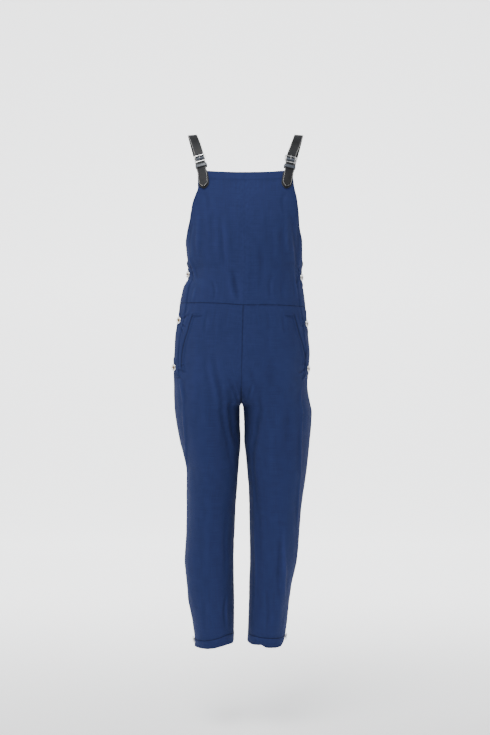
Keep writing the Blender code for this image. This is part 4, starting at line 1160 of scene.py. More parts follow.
@dataclass(frozen=True)
class MetalFinish:
    """Polished or aged metal with fine scratches.

    Attributes:
        name: The material's name.
        colour: Its colour.
        tarnish: Colour of its dull places.
        roughness: Lowest and highest roughness.
    """

    name: str
    colour: tuple[float, float, float]
    tarnish: tuple[float, float, float]
    roughness: tuple[float, float]

    @functools.cache
    def material(self) -> bpy.types.Material:
        """The finish as nodes on Object coordinates."""
        bench = NodeBench(self.name)
        scratches = bench.noise(bench.scaled(bench.place, (300.0, 300.0, 2600.0)), 1.0, 3.0)
        clouds = bench.noise(bench.place, 180.0, 3.0)
        share = bench.ramp(clouds, (0.45, 0.75), (0.0, 0.7))
        bench.set(base_color=bench.blend(share, (*self.colour, 1.0), (*self.tarnish, 1.0)))
        bench.set(roughness=bench.ramp(clouds, (0.3, 0.7), self.roughness), metallic=1.0)
        bench.bump(scratches, 0.10, 0.00006)
        return bench.material


@dataclass(frozen=True)
class ThreadFinish:
    """Sewing thread with its twist.

    Attributes:
        name: The material's name.
        colour: Its colour.
        sheen: Weight of its sheen.
        shine: Its specular level.
    """

    name: str
    colour: tuple[float, float, float]
    sheen: float = 0.2
    shine: float = 0.4

    @functools.cache
    def material(self) -> bpy.types.Material:
        """The finish as nodes on Object coordinates."""
        bench = NodeBench(self.name)
        strands = bench.noise(bench.place, 1600.0)
        bench.set(base_color=bench.shade(self.colour, bench.ramp(strands, (0.3, 0.7), (0.75, 1.25))))
        bench.set(roughness=bench.ramp(strands, (0.3, 0.7), (0.55, 0.75)))
        bench.set(sheen_weight=self.sheen, specular_ior_level=self.shine)
        bench.bump(strands, 0.3, 0.0002)
        return bench.material


@dataclass(frozen=True)
class StudioFinish:
    """Plain pale paint of the floor and backdrop.

    Attributes:
        name: The material's name.
        colour: Its colour.
        glow: Its own light, which keeps it pale behind the garment and falls away all round.
    """

    name: str = "studio_white"
    colour: tuple[float, float, float] = (0.93, 0.935, 0.94)
    glow: float = 2.3

    @functools.cache
    def material(self) -> bpy.types.Material:
        """The finish, with the faintest unevenness."""
        bench = NodeBench(self.name)
        cloud = bench.noise(bench.place, 0.8, 1.0)
        bench.set(base_color=bench.shade(self.colour, bench.ramp(cloud, (0.3, 0.7), (0.995, 1.005))))
        bench.set(roughness=0.9, specular_ior_level=0.1)
        x, y, z = bench.axes(bench.place)
        behind = bench.ramp(y, (-0.5, 2.0), (0.22 * self.glow, self.glow))
        beside = bench.ramp(bench.math("ABSOLUTE", x), (1.7, 3.2), (1.0, 0.15))
        above = bench.ramp(z, (1.8, 3.2), (1.0, 0.15))
        bench.set(emission_color=(*self.colour, 1.0), emission_strength=bench.times(behind, beside, above))
        return bench.material


CLOTH = ClothFinish()
LEATHER = LeatherFinish()
KEEPER_LEATHER = LeatherFinish("glossed_leather", roughness=(0.32, 0.44), gloss=0.30)
NICKEL = MetalFinish("polished_nickel", (0.88, 0.88, 0.89), (0.70, 0.70, 0.71), (0.20, 0.34))
DULL_NICKEL = MetalFinish("dull_nickel", (0.50, 0.50, 0.51), (0.34, 0.34, 0.35), (0.30, 0.44))
BRASS = MetalFinish("aged_brass", (0.26, 0.16, 0.07), (0.06, 0.036, 0.018), (0.34, 0.52))
NAVY_THREAD = ThreadFinish("navy_thread", (0.0138, 0.0210, 0.0740), 0.0, 0.08)
PALE_THREAD = ThreadFinish("pale_thread", (0.56, 0.54, 0.51))
STUDIO = StudioFinish()


# --- Meshes ---------------------------------------------------------------------------------------


def dress(obj: bpy.types.Object, node: str | None = None) -> bpy.types.Object:
    """Makes a finished piece ride on the garment and stand for its solid.

    Args:
        obj: The piece.
        node: The solid that it replaces, if any.

    Returns:
        The piece.
    """
    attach(obj, "root")
    if node:
        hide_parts(node)
    LOG.info("%s: %d faces", obj.name, len(obj.data.polygons))
    return obj


@dataclass
class MeshBook:
    """Collects points, faces and per-point values, and makes one mesh of them.

    Attributes:
        points: Blocks of points.
        faces: Faces as point numbers, each with its material's number.
        values: Blocks of per-point values by name.
        uvs: Blocks of per-point UV places.
    """

    points: list[np.ndarray] = field(default_factory=list)
    faces: list[tuple[tuple[int, ...], int]] = field(default_factory=list)
    values: dict[str, list[np.ndarray]] = field(default_factory=dict)
    uvs: list[np.ndarray] = field(default_factory=list)

    def count(self) -> int:
        """How many points there are."""
        return sum(len(block) for block in self.points)

    def add(
        self,
        points: np.ndarray,
        faces: Sequence[Sequence[int]],
        uv: np.ndarray | None = None,
        slot: int = 0,
        **values: np.ndarray,
    ) -> None:
        """Adds a block.

        Args:
            points: Its points.
            faces: Its faces, numbered from its own first point.
            uv: UV place of each point.
            slot: The material's number.
            **values: A value for each point, by name.
        """
        start = self.count()
        self.points.append(np.asarray(points, float))
        self.faces += [(tuple(start + k for k in face), slot) for face in faces]
        self.uvs.append(np.zeros((len(points), 2)) if uv is None else uv)
        for name, block in values.items():
            self.values.setdefault(name, []).append(np.asarray(block, float))

    def make(self, name: str, finishes: Sequence[object]) -> bpy.types.Object:
        """Makes the object.

        Args:
            name: Its name.
            finishes: Its finishes, in the order of the faces' numbers.

        Returns:
            The object, at the origin.
        """
        mesh = bpy.data.meshes.new(name)
        mesh.from_pydata(np.concatenate(self.points).tolist(), [], [face for face, _ in self.faces])
        mesh.polygons.foreach_set("material_index", [slot for _, slot in self.faces])
        loops = np.empty(len(mesh.loops), np.int64)
        mesh.loops.foreach_get("vertex_index", loops)
        layer = mesh.uv_layers.new(name="cloth_metres")
        layer.data.foreach_set("uv", np.concatenate(self.uvs)[loops].astype(np.float32).ravel())
        for key, blocks in self.values.items():
            attribute = mesh.attributes.new(key, "FLOAT", "POINT")
            attribute.data.foreach_set("value", np.concatenate(blocks).astype(np.float32))
        for finish in finishes:
            mesh.materials.append(finish.material())
        mesh.validate()
        mesh.shade_smooth()
        obj = bpy.data.objects.new(name, mesh)
        bpy.context.scene.collection.objects.link(obj)
        return obj

    def stand_for(self, node: str, stuff: Stuff, *finishes: object) -> bpy.types.Object:
        """Makes the piece that stands for a solid, in these finishes."""
        return dress(self.make(f"{node}_{stuff.name.lower()}", finishes), node)


def grid_faces(rows: int, columns: int, start: int = 0, flip: bool = False) -> list[tuple[int, ...]]:
    """Quads between the points of a grid.

    Args:
        rows: Its rows.
        columns: Its columns.
        start: Number of its first point.
        flip: Whether the faces turn the other way.

    Returns:
        The quads.
    """
    i, j = np.meshgrid(np.arange(rows - 1), np.arange(columns - 1), indexing="ij")
    first = (start + i * columns + j).ravel()
    quads = np.stack([first, first + columns, first + columns + 1, first + 1], axis=1)
    if flip:
        quads = quads[:, ::-1]
    return [tuple(quad) for quad in quads.tolist()]


def grid_normals(points: np.ndarray, towards: np.ndarray) -> np.ndarray:
    """Directions square to a grid of points, on the side that towards names."""
    down = np.gradient(points, axis=0)
    along = np.gradient(points, axis=1)
    normal = unit(np.cross(down, along))
    sign = np.sign(np.sum(normal * towards, axis=-1, keepdims=True))
    return unit(normal * np.where(sign == 0, 1, sign) + 0.15 * towards)


@dataclass
class ClothPatch:
    """A grid of places on the form, which becomes a thin shell.

    Attributes:
        sides: The wearer's side of each column.
        arounds: Places around, rows by columns.
        heights: Heights, rows by columns.
        lift: How far its outer face lies above the form's cloth.
        thick: The shell's thickness.
        extra: Further lift of each place, if any.
        shade_line_distance: Distance of each place from a line of painted shade of its own, if it has one.
    """

    sides: np.ndarray
    arounds: np.ndarray
    heights: np.ndarray
    lift: float = 0.0
    thick: float = 0.0012
    extra: np.ndarray | None = None
    shade_line_distance: np.ndarray | None = None

    def surface(self, form: WornForm) -> tuple[np.ndarray, np.ndarray, np.ndarray]:
        """The outer face.

        Args:
            form: The form it lies on.

        Returns:
            Its points, the form's outward directions and the distance of each from a seam or from its line of
            painted shade.
        """
        outer = np.empty(self.arounds.shape + (3,))
        out = np.empty_like(outer)
        seam = np.empty(self.arounds.shape)
        for side in (-1, 1):
            chosen = self.sides == side
            if chosen.any():
                place = (side, self.arounds[:, chosen], self.heights[:, chosen])
                outer[:, chosen] = form.cloth(*place, self.lift)
                out[:, chosen] = form.normal(*place)
                seam[:, chosen] = form.seam_distance(*place)
        out = form.straightened(out, outer)
        if self.extra is not None:
            outer += out * self.extra[..., None]
        # A line of painted shade joins the seams.
        if self.shade_line_distance is not None:
            seam = np.minimum(seam, self.shade_line_distance)
        return outer, out, seam

    def write(self, book: MeshBook, form: WornForm, slot: int = 0) -> float:
        """Adds the closed shell to a mesh.

        Args:
            book: The mesh.
            form: The form it lies on.
            slot: The material's number.

        Returns:
            The outer face's area in square metres.
        """
        outer, out, seam = self.surface(form)
        rows, columns = outer.shape[:2]
        normals = form.straightened(grid_normals(outer, out), outer)
        inner = outer - normals * self.thick
        plain = np.empty_like(outer)
        for side in (-1, 1):
            chosen = self.sides == side
            if chosen.any():
                plain[:, chosen] = form.plain(side, self.arounds[:, chosen], self.heights[:, chosen])
        # The relief's fine detail, from which the cloth's finish paints shade in troughs and highlight on
        # ridges.
        relief = np.sum((outer - plain) * out, axis=-1)
        relief -= softened(relief, 5)

        steps = np.linalg.norm(np.diff(outer, axis=1), axis=-1)
        u = np.concatenate([np.zeros((rows, 1)), np.cumsum(steps, axis=1)], axis=1)
        middle = columns // 2
        u -= u[:, middle : middle + 1]
        falls = np.linalg.norm(np.diff(outer, axis=0), axis=-1)
        v = np.concatenate([np.zeros((1, columns)), np.cumsum(falls, axis=0)], axis=0)
        uv = np.stack([u, -v], axis=-1)

        rim = [(i, 0) for i in range(rows)]
        rim += [(rows - 1, j) for j in range(1, columns)]
        rim += [(i, columns - 1) for i in range(rows - 2, -1, -1)]
        rim += [(0, j) for j in range(columns - 2, 0, -1)]
        at = np.array(rim)
        inside_row = np.clip(at[:, 0], 1, rows - 2)
        inside_column = np.clip(at[:, 1], 1, columns - 2)
        edge = outer[at[:, 0], at[:, 1]]
        away = unit(edge - outer[inside_row, inside_column])
        bead = (edge + inner[at[:, 0], at[:, 1]]) / 2 + away * 0.00035

        size = rows * columns
        i, j = rows // 2, columns // 2
        faces_out = np.cross(outer[i + 1, j] - outer[i, j], outer[i, j + 1] - outer[i, j])
        flip = float(faces_out @ out[i, j]) < 0
        faces = grid_faces(rows, columns, 0, flip)
        faces += grid_faces(rows, columns, size, not flip)
        index = at[:, 0] * columns + at[:, 1]
        total = len(rim)
        for k in range(total):
            after = (k + 1) % total
            a, b = int(index[k]), int(index[after])
            m, n = 2 * size + k, 2 * size + after
            upper = (a, m, n, b) if not flip else (a, b, n, m)
            lower = (m, a + size, b + size, n) if not flip else (m, n, b + size, a + size)
            faces += [upper, lower]
        points = np.concatenate([outer.reshape(-1, 3), inner.reshape(-1, 3), bead])
        flat_uv = uv.reshape(-1, 2)
        uvs = np.concatenate([flat_uv, flat_uv, flat_uv[index]])
        values = {}
        for name, block in (("seam", seam), ("relief", relief)):
            line = block.ravel()
            values[name] = np.concatenate([line, line, line[index]])
        book.add(points, faces, uvs, slot, **values)
        cells = np.cross(outer[1:, :-1] - outer[:-1, :-1], outer[:-1, 1:] - outer[:-1, :-1])
        return float(np.linalg.norm(cells, axis=-1).sum())


def ring_strip(book: MeshBook, rings: np.ndarray, closed: bool, **values: np.ndarray) -> None:
    """Adds a tube through rings of points.

    Args:
        book: The mesh.
        rings: Rings by points by 3, each ring closed in itself.
        closed: Whether the last ring joins the first; if not, both ends are filled.
        **values: Per-point values, rings by points.
    """
    count, sides = rings.shape[:2]
    ahead = rings[min(1, count - 1)].mean(axis=0) - rings[0].mean(axis=0)
    turn = np.cross(rings[0][0] - rings[0].mean(axis=0), rings[0][1] - rings[0].mean(axis=0))
    flip = float(turn @ ahead) > 0
    faces = []
    for k in range(count if closed else count - 1):
        after = (k + 1) % count
        for m in range(sides):
            n = (m + 1) % sides
            quad = (k * sides + m, after * sides + m, after * sides + n, k * sides + n)
            faces.append(quad[::-1] if flip else quad)
    if not closed:
        first = tuple(range(sides))
        last = tuple((count - 1) * sides + m for m in range(sides))
        faces += [first[::-1], last] if flip else [first, last[::-1]]
    flat = {name: block.ravel() for name, block in values.items()}
    book.add(rings.reshape(-1, 3), faces, **flat)


def rounded_section(half: float, thick: float, radius: float, crown: float) -> np.ndarray:
    """The outline of a leather strip's cross-section.

    Args:
        half: Half its width.
        thick: Its thickness.
        radius: How far its edges are rounded.
        crown: How far its middle rises above its edges.

    Returns:
        Points as (across, out), anticlockwise.
    """
    radius = min(radius, thick / 2 * 0.98, half * 0.9)
    points = []
    corners = ((1, -1, -90), (1, 1, 0), (-1, 1, 90), (-1, -1, 180))
    for sign_x, sign_z, start in corners:
        for degrees in (0, 30, 60, 90):
            angle = math.radians(start + degrees)
            x = sign_x * (half - radius) + radius * math.cos(angle)
            z = sign_z * (thick / 2 - radius) + radius * math.sin(angle)
            points.append((x, z))
        if sign_z > 0 and sign_x > 0:
            points += [(half * share, thick / 2 + crown * (1 - share**2)) for share in (0.6, 0.2, -0.2, -0.6)]
        if sign_z < 0 and sign_x < 0:
            points += [(half * share, -thick / 2) for share in (-0.6, -0.2, 0.2, 0.6)]
    return np.array(points)


# --- Sewing ---------------------------------------------------------------------------------------


@dataclass(frozen=True)
class Stitching:
    """Rows of stitches, which Geometry Nodes set along their lines.

    Attributes:
        thread: The thread's finish.
        pitch: Distance from one stitch to the next.
        length: Length of one stitch.
        radius: The thread's radius.
    """

    thread: ThreadFinish
    pitch: float = 0.0034
    length: float = 0.0027
    radius: float = 0.00026

    def _tree(self) -> bpy.types.NodeTree:
        """Builds the tree: lines to curves, evenly spaced points, a stitch on each."""
        tree = bpy.data.node_groups.new("stitch_rows", "GeometryNodeTree")
        for way in ("INPUT", "OUTPUT"):
            tree.interface.new_socket("Geometry", in_out=way, socket_type="NodeSocketGeometry")
        for name in ("Pitch", "Stitch Length", "Thread Radius"):
            tree.interface.new_socket(name, in_out="INPUT", socket_type="NodeSocketFloat")
        node = functools.partial(add_node, tree)
        given = node("NodeGroupInput", {}).outputs
        radius = given["Thread Radius"]
        curve = node("GeometryNodeMeshToCurve", {"Mesh": given["Geometry"]})
        along = {"Curve": curve.outputs["Curve"], "Length": given["Pitch"]}
        spread = node("GeometryNodeCurveToPoints", along, mode="LENGTH")
        ball = node("GeometryNodeMeshUVSphere", {"Segments": 6, "Rings": 5, "Radius": 1.0})
        half = node("ShaderNodeMath", {0: given["Stitch Length"], 1: 0.5}, operation="MULTIPLY")
        size = node("ShaderNodeCombineXYZ", {"X": half.outputs[0], "Y": radius, "Z": radius})
        turn = node("FunctionNodeAlignRotationToVector", {"Vector": spread.outputs["Tangent"]}, axis="X")
        stitch = {
            "Points": spread.outputs["Points"],
            "Instance": ball.outputs["Mesh"],
            "Rotation": turn.outputs["Rotation"],
            "Scale": size.outputs["Vector"],
        }
        rows = node("GeometryNodeInstanceOnPoints", stitch)
        real = node("GeometryNodeRealizeInstances", {"Geometry": rows.outputs["Instances"]})
        smooth = node("GeometryNodeSetShadeSmooth", {"Geometry": real.outputs["Geometry"]})
        thread = {"Geometry": smooth.outputs["Geometry"], "Material": self.thread.material()}
        paint = node("GeometryNodeSetMaterial", thread)
        node("NodeGroupOutput", {"Geometry": paint.outputs["Geometry"]})
        return tree

    def sew(self, name: str, rows: Sequence[np.ndarray]) -> bpy.types.Object:
        """Sews rows of stitches as one plain mesh.

        Args:
            name: The piece's name.
            rows: Lines of points that the thread follows.

        Returns:
            The piece.
        """
        edges = []
        start = 0
        for row in rows:
            edges += [(start + k, start + k + 1) for k in range(len(row) - 1)]
            start += len(row)
        lines = bpy.data.meshes.new(name)
        lines.from_pydata(np.concatenate(rows).tolist(), edges, [])
        obj = bpy.data.objects.new(name, lines)
        bpy.context.scene.collection.objects.link(obj)
        stitches = obj.modifiers.new("stitches", "NODES")
        stitches.node_group = self._tree()
        sizes = {"Pitch": self.pitch, "Stitch Length": self.length, "Thread Radius": self.radius}
        for item in stitches.node_group.interface.items_tree:
            if item.in_out == "INPUT" and item.name in sizes:
                stitches[item.identifier] = sizes[item.name]
        graph = bpy.context.evaluated_depsgraph_get()
        mesh = bpy.data.meshes.new_from_object(obj.evaluated_get(graph))
        obj.modifiers.clear()
        obj.data = mesh
        mesh.name = name
        bpy.data.meshes.remove(lines)
        return dress(obj)


CLOTH_STITCH = Stitching(NAVY_THREAD)
LEATHER_STITCH = Stitching(PALE_THREAD, pitch=0.0028, length=0.0027, radius=0.00032)
THREAD_SINK = 0.00008


# --- Cloth pieces ---------------------------------------------------------------------------------


@dataclass
class ClothMaker:
    """What every maker of cloth pieces shares.

    Attributes:
        form: The form the cloth lies on.
        spacing: Distance between the shell's points.
    """

    form: WornForm
    spacing: float = 0.0028
    coarse: float = 2.2

    def steps(self, length: float) -> int:
        """How many steps cover a length."""
        return max(4, round(length / (self.spacing * 1.0)))

    def even(self, behind: bool, height: float, edge: float, count: int) -> np.ndarray:
        """Places evenly spread between the centre front or back and an edge, towards the back."""
        share = smooth_step(height, LEG_SHAPE_TOP, CROTCH)
        power = mix(self.form.section["square"].at(height) / 2, 1.0, share)
        shares = end_heavy(count)
        return mix(2.0, edge, (1 - shares) ** power) if behind else edge * shares**power

    def row_of(self, side: int, arounds: np.ndarray, heights: np.ndarray, lift: object = 0.0) -> np.ndarray:
        """A line for stitches just on the cloth."""
        return self.form.cloth(side, arounds, heights, lift + CLOTH_STITCH.radius - THREAD_SINK)

    def make(self, node: str, *patches: ClothPatch) -> bpy.types.Object:
        """Makes shells one piece that stands for its solid, and logs its area."""
        book = MeshBook()
        area = sum(patch.write(book, self.form) for patch in patches)
        LOG.info("%s measures %.4f m2", node, area)
        return book.stand_for(node, Stuff.CLOTH, CLOTH)


@dataclass
class Bib(ClothMaker):
    """The bib's front and back, from their top edges to the waist seam.

    Attributes:
        facing: Depth of the turned hem along the top.
        hem_lift: How much the turned hem stands out.
        edge_inset: Distance of the edge stitches from the free edge.
        fold_inset: Distance of the hem's stitches from its fold.
    """

    facing: float = 0.0196
    hem_lift: float = 0.0005
    edge_inset: float = 0.0055
    fold_inset: float = 0.0012

    def sag(self, across: np.ndarray) -> np.ndarray:
        """How far the front's top edge sags, by distance from the centre line."""
        return BIB_TOP_SAG * (1 - np.minimum(1.0, across / BIB_TOP_HALF_WIDTH) ** 2)

    def patch(self, front: bool) -> ClothPatch:
        """A panel's grid, lifted where its top edge is turned.

        Args:
            front: Whether it is the front panel.

        Returns:
            The patch.
        """
        form = self.form
        shares = end_heavy(self.steps(0.318 if front else 0.242))
        columns = self.steps(0.165 if front else 0.170)
        blocks = []
        for side in sorted(Side, reverse=not front):
            if front:
                middle = form.side_line(side, -0.2)
                levels = mix(BIB_TOP, float(form.waist(side, middle)) + MEET, shares)
                edges = form.side_line(side, levels) - HALF_GAP / QUARTER_TURN
            else:
                levels = mix(BACK_TOP, float(form.waist(side, 1.0)) + MEET, shares)
                free = np.where(levels > PLACKET_TOP, form.back_edge.at(levels), 0.0)
                edges = np.maximum(form.side_line(side, levels), free) + HALF_GAP / QUARTER_TURN
            lines = [self.even(not front, level, edge, columns) for level, edge in zip(levels, edges)]
            arounds = np.array(lines)
            tops = BACK_TOP
            if front:
                tops = BIB_TOP - self.sag(form.across(side, arounds[0], np.full(arounds.shape[1], BIB_TOP)))
            block = np.stack([arounds, mix(tops, form.waist(side, arounds) + MEET, shares[:, None])])
            if side < 0:
                block = block[:, :, :0:-1] if front else block[:, :, -2::-1]
            blocks.append((block, np.full(block.shape[2], int(side))))
        arounds, heights = np.concatenate([block for block, _ in blocks], axis=2)
        sides = np.concatenate([line for _, line in blocks])
        return ClothPatch(sides, arounds, heights, extra=self.turned_hem(heights[:1] - heights))

    def turned_hem(self, below: np.ndarray) -> np.ndarray:
        """How far the turned hem lifts the cloth, by distance below the top edge."""
        band = 1 - smooth_step(below, self.facing, self.facing + 0.003)
        groove = 0.0004 * np.exp(-(((below - self.facing + 0.001) / 0.0018) ** 2))
        return self.hem_lift * band - groove

    def rows(self, front: bool) -> list[np.ndarray]:
        """Lines of a panel's stitches: its top hem and its free edges."""
        rows = []
        for side in Side:
            if front:
                level = np.full(40, BIB_TOP - self.facing + self.fold_inset)
                places = np.linspace(0.0, 0.93, 40) * self.form.side_line(side, level)
                level = level - self.sag(self.form.across(side, places, level))
                heights = np.linspace(BIB_TOP - 0.024, PLACKET_TOP + 0.002, 90)
                edge = self.form.beside(side, -self.edge_inset, heights)
            else:
                level = np.full(40, BACK_TOP - self.facing + self.fold_inset)
                places = np.linspace(1.64, 2.0, 40)
                heights = np.linspace(BACK_TOP - 0.020, PLACKET_TOP + 0.008, 90)
                edge = self.form.back_edge.at(heights + 0.003) + self.edge_inset / QUARTER_TURN
            rows.append(self.row_of(side, places, level, self.hem_lift * 0.6))
            rows.append(self.row_of(side, edge, heights))
        return rows

    def build(self) -> None:
        """Builds both pieces with their stitches."""
        for word, flat, area in (("front", (0.350, 0.322), 0.0953), ("back", (0.515, 0.246), 0.0868)):
            cloth = self.make(f"bib_{word}", self.patch(word == "front"))
            sewn = CLOTH_STITCH.sew(f"bib_{word}_stitches", self.rows(word == "front"))


@dataclass
class Trousers(ClothMaker):
    """The four trouser panels, from the waist seam to the hem bands.

    Attributes:
        flat: Widest and longest of a front and a back as they were cut. Not used.
        areas: Area of each panel; the side seams lie a little differently on the two sides. Not used.
        stitch_inset: Distance of the stitches from the waist and hem seams.
        bag_drop: How far the pocket's bag lies behind its mouth.
    """

    flat: dict[str, tuple[float, float]] = field(
        default_factory=lambda: {"front": (0.238, 0.830), "back": (0.416, 0.840)}
    )
    areas: dict[str, dict[int, float]] = field(
        default_factory=lambda: {"front": {-1: 0.1695, 1: 0.1545}, "back": {-1: 0.2172, 1: 0.2310}}
    )
    stitch_inset: float = 0.0026
    bag_drop: float = 0.0024

    def rows(self) -> np.ndarray:
        """Row values down a panel, spaced by the cloth between them and closer at its two ends."""
        fork_row = ROWS_TO_FORK + FORK_ROWS
        last = fork_row + LEG_ROWS
        parts = ((0, ROWS_TO_FORK, 0.165), (ROWS_TO_FORK, fork_row, 0.100), (fork_row, last, 0.565))
        even = [np.linspace(first, end, self.steps(length) + 1) for first, end, length in parts]
        close = np.array((0.012, 0.03, 0.06))
        return np.unique(np.concatenate([*even, close, last - close]).round(6))

    def patch(self, side: int, front: bool) -> ClothPatch:
        """One panel's grid.

        Args:
            side: The wearer's side.
            front: Whether it is the front panel.

        Returns:
            The patch.
        """
        form = self.form
        columns = self.steps(0.205 if front else 0.245)
        shift = HALF_GAP / QUARTER_TURN * (-0.2 if front else 0.2)
        arounds = []
        heights = []
        for row in self.rows():
            line = form.side_line(side, form.trouser_height(side, np.array(0.95), row))
            level = float(form.trouser_height(side, np.asarray(line), row))
            edge = float(form.side_line(side, level)) + shift
            arounds.append(self.even(not front, level, edge, columns))
            heights.append(form.trouser_height(side, arounds[-1], row))
        patch = ClothPatch(np.full(len(arounds[0]), int(side)), np.array(arounds), np.array(heights))
        if front:
            self.add_mouth(side, patch)
        return patch

    def add_mouth(self, side: int, patch: ClothPatch) -> None:
        """Lets the cloth drop to the pocket's bag behind its mouth, and paints shade along the line there."""
        heights = patch.heights
        across = self.form.across(side, np.minimum(patch.arounds, 1.0), heights)
        off = across - self.form.mouth_at(side, heights) - 0.0012
        inside = smooth_step(heights, -0.582, -0.566) * (1 - smooth_step(heights, -0.444, -0.438))
        patch.extra = -inside * (self.bag_drop * np.exp(-((off / 0.0022) ** 2)))
        # Distance from the mouth's line, along which the cloth's finish paints shade.
        patch.shade_line_distance = 0.5 * np.abs(off) + 0.01 * (1 - inside)

    def seam_rows(self, side: int) -> list[np.ndarray]:
        """Lines of stitches below the waist seam, clear of the placket, and above the hem seam."""
        form = self.form
        front = float(form.beside(side, PLACKET_FRONT - 0.002, WAIST))
        back = float(form.beside(side, PLACKET_REAR + 0.002, WAIST))
        lines = [np.linspace(0, front, 60), np.linspace(back, 2.0, 80)]
        rows = [self.row_of(side, line, form.waist(side, line) - self.stitch_inset) for line in lines]
        places = np.linspace(0.02, 1.98, 150)
        return [*rows, self.row_of(side, places, form.hem(side, places) + self.stitch_inset)]

    def build(self) -> None:
        """Builds the panels with their stitches."""
        for side in Side:
            sewn = CLOTH_STITCH.sew(f"trouser_stitches_{side.word}", self.seam_rows(side))
            for word in ("front", "back"):
                cloth = self.make(f"trouser_{word}_{side.word}", self.patch(side, word == "front"))


@dataclass
class HemBands(ClothMaker):
    """The bands round the legs' ends, each with a small vent on the outer side.

    Attributes:
        proud: How far a band stands outside the leg.
        thick: Its thickness, two layers of cloth.
        ripple: How far its lower edge waves in and out.
        rows: Steps down a band.
        vent: Half the vent's width above and below.
        areas: Area of each band as it was cut. Not used.
    """

    proud: float = 0.0004
    thick: float = 0.0021
    ripple: float = 0.0011
    rows: int = 10
    vent: tuple[float, float] = (0.0003, 0.0025)
    areas: dict[int, float] = field(default_factory=lambda: {-1: 0.0078, 1: 0.0073})

    def wave(self, side: int, arounds: np.ndarray) -> np.ndarray:
        """The uneven wave of the lower edge around a leg."""
        return self.ripple * (np.sin(arounds * 9.0 + side) + 0.7 * np.sin(arounds * 17.0 + 2.0 * side))

    def build(self) -> None:
        """Builds both bands with their edge stitches."""
        for side in Side:
            start = float(self.form.hem(side, 1.0))
            line = float(self.form.side_line(side, start))
            shares = np.linspace(0, 1, self.rows + 1)
            count = self.steps(0.20)
            arounds = []
            for half in mix(*self.vent, shares**1.5) / QUARTER_TURN:
                ahead = self.even(True, start, line + half, count)
                after = self.even(False, start, line - half, count)
                arounds.append(np.concatenate([ahead[:-1], after]))
            arounds = np.array(arounds)
            seam = self.form.hem(side, arounds[:1]) - MEET
            heights = mix(seam, self.form.hem(side, arounds[:1], "edge"), shares[:, None])
            extra = self.wave(side, arounds) * shares[:, None] ** 2
            sides = np.full(arounds.shape[1], int(side))
            patch = ClothPatch(sides, arounds, heights, self.proud, self.thick, extra)
            cloth = self.make(f"hem_band_{side.word}", patch)
            places = np.linspace(0.0, 2.0, 160)
            rows = []
            for part in (places[places < line - 0.03], places[places > line + 0.03]):
                level = self.form.hem(side, part, "edge") + 0.0045
                rows.append(self.row_of(side, part, level, self.proud + 0.6 * self.wave(side, part)))
            sewn = [CLOTH_STITCH.sew(f"hem_stitches_{side.word}", rows)]


@dataclass
class Plackets(ClothMaker):
    """The side strips that carry the snaps.

    Attributes:
        taper: How far the front edge falls, to lie almost flush.
        taper_width: Width over which it falls.
        rounding: How far the other edges roll down.
        row_inset: Distance of the stitches from the long edges.
    """

    taper: float = 0.0014
    taper_width: float = 0.006
    rounding: float = 0.0006
    row_inset: float = 0.0028

    def profile(self, across: np.ndarray) -> np.ndarray:
        """How far the strip's face lies from its full height, by place across."""
        front = across - PLACKET_FRONT
        rear = PLACKET_REAR - across
        fall = self.taper * (1 - smooth_step(front, 0, self.taper_width))
        fall += self.rounding * np.exp(-rear / 0.0012)
        for edge in (front, rear):
            fall += 0.00025 * np.exp(-(((edge - self.row_inset) / 0.0016) ** 2))
        return -fall

    def stitch_rows(self, side: int, levels: np.ndarray, lift: float) -> list[np.ndarray]:
        """Lines of stitches along both long edges and twice across the lower end."""
        form = self.form
        rows = []
        for across in (PLACKET_FRONT + self.row_inset, PLACKET_REAR - self.row_inset):
            push = lift + float(self.profile(np.array(across)))
            rows.append(self.row_of(side, form.beside(side, across, levels[3:-3]), levels[3:-3], push))
        across = np.linspace(PLACKET_FRONT + 0.003, PLACKET_REAR - 0.003, 14)
        for level in (levels[-1] + 0.004, levels[-1] + 0.007):
            heights = np.full(len(across), level)
            places = form.beside(side, across, heights)
            rows.append(self.row_of(side, places, heights, lift + self.profile(across)))
        return rows

    def build(self) -> None:
        """Builds both strips with their stitches."""
        form = self.form
        lift = PLACKET_LIFT + PLACKET_CLOTH
        for side in Side:
            line = form.side_line(side, WAIST)
            bottom = float(form.trouser_height(side, np.asarray(line), PLACKET_END_ROW))
            waist = float(form.waist(side, line))
            seam = waist + np.linspace(-0.003, 0.003, 11)
            levels = np.linspace(PLACKET_TOP, bottom, self.steps(0.27) + 1)
            levels = np.sort(np.concatenate([levels[np.abs(levels - waist) > 0.0036], seam]))[::-1]
            across = np.linspace(PLACKET_FRONT, PLACKET_REAR, 18)
            heights = np.repeat(levels[:, None], len(across), axis=1)
            end = np.minimum(PLACKET_TOP - levels, levels - bottom)
            extra = self.profile(across)[None, :] - self.rounding * np.exp(-end / 0.0012)[:, None]
            arounds = form.beside(side, across[None, :], heights)
            patch = ClothPatch(np.full(len(across), int(side)), arounds, heights, lift, 0.0012, extra)
            cloth = self.make(f"side_placket_{side.word}", patch)
            rows = self.stitch_rows(side, levels, lift)
            sewn = [CLOTH_STITCH.sew(f"placket_stitches_{side.word}", rows)]


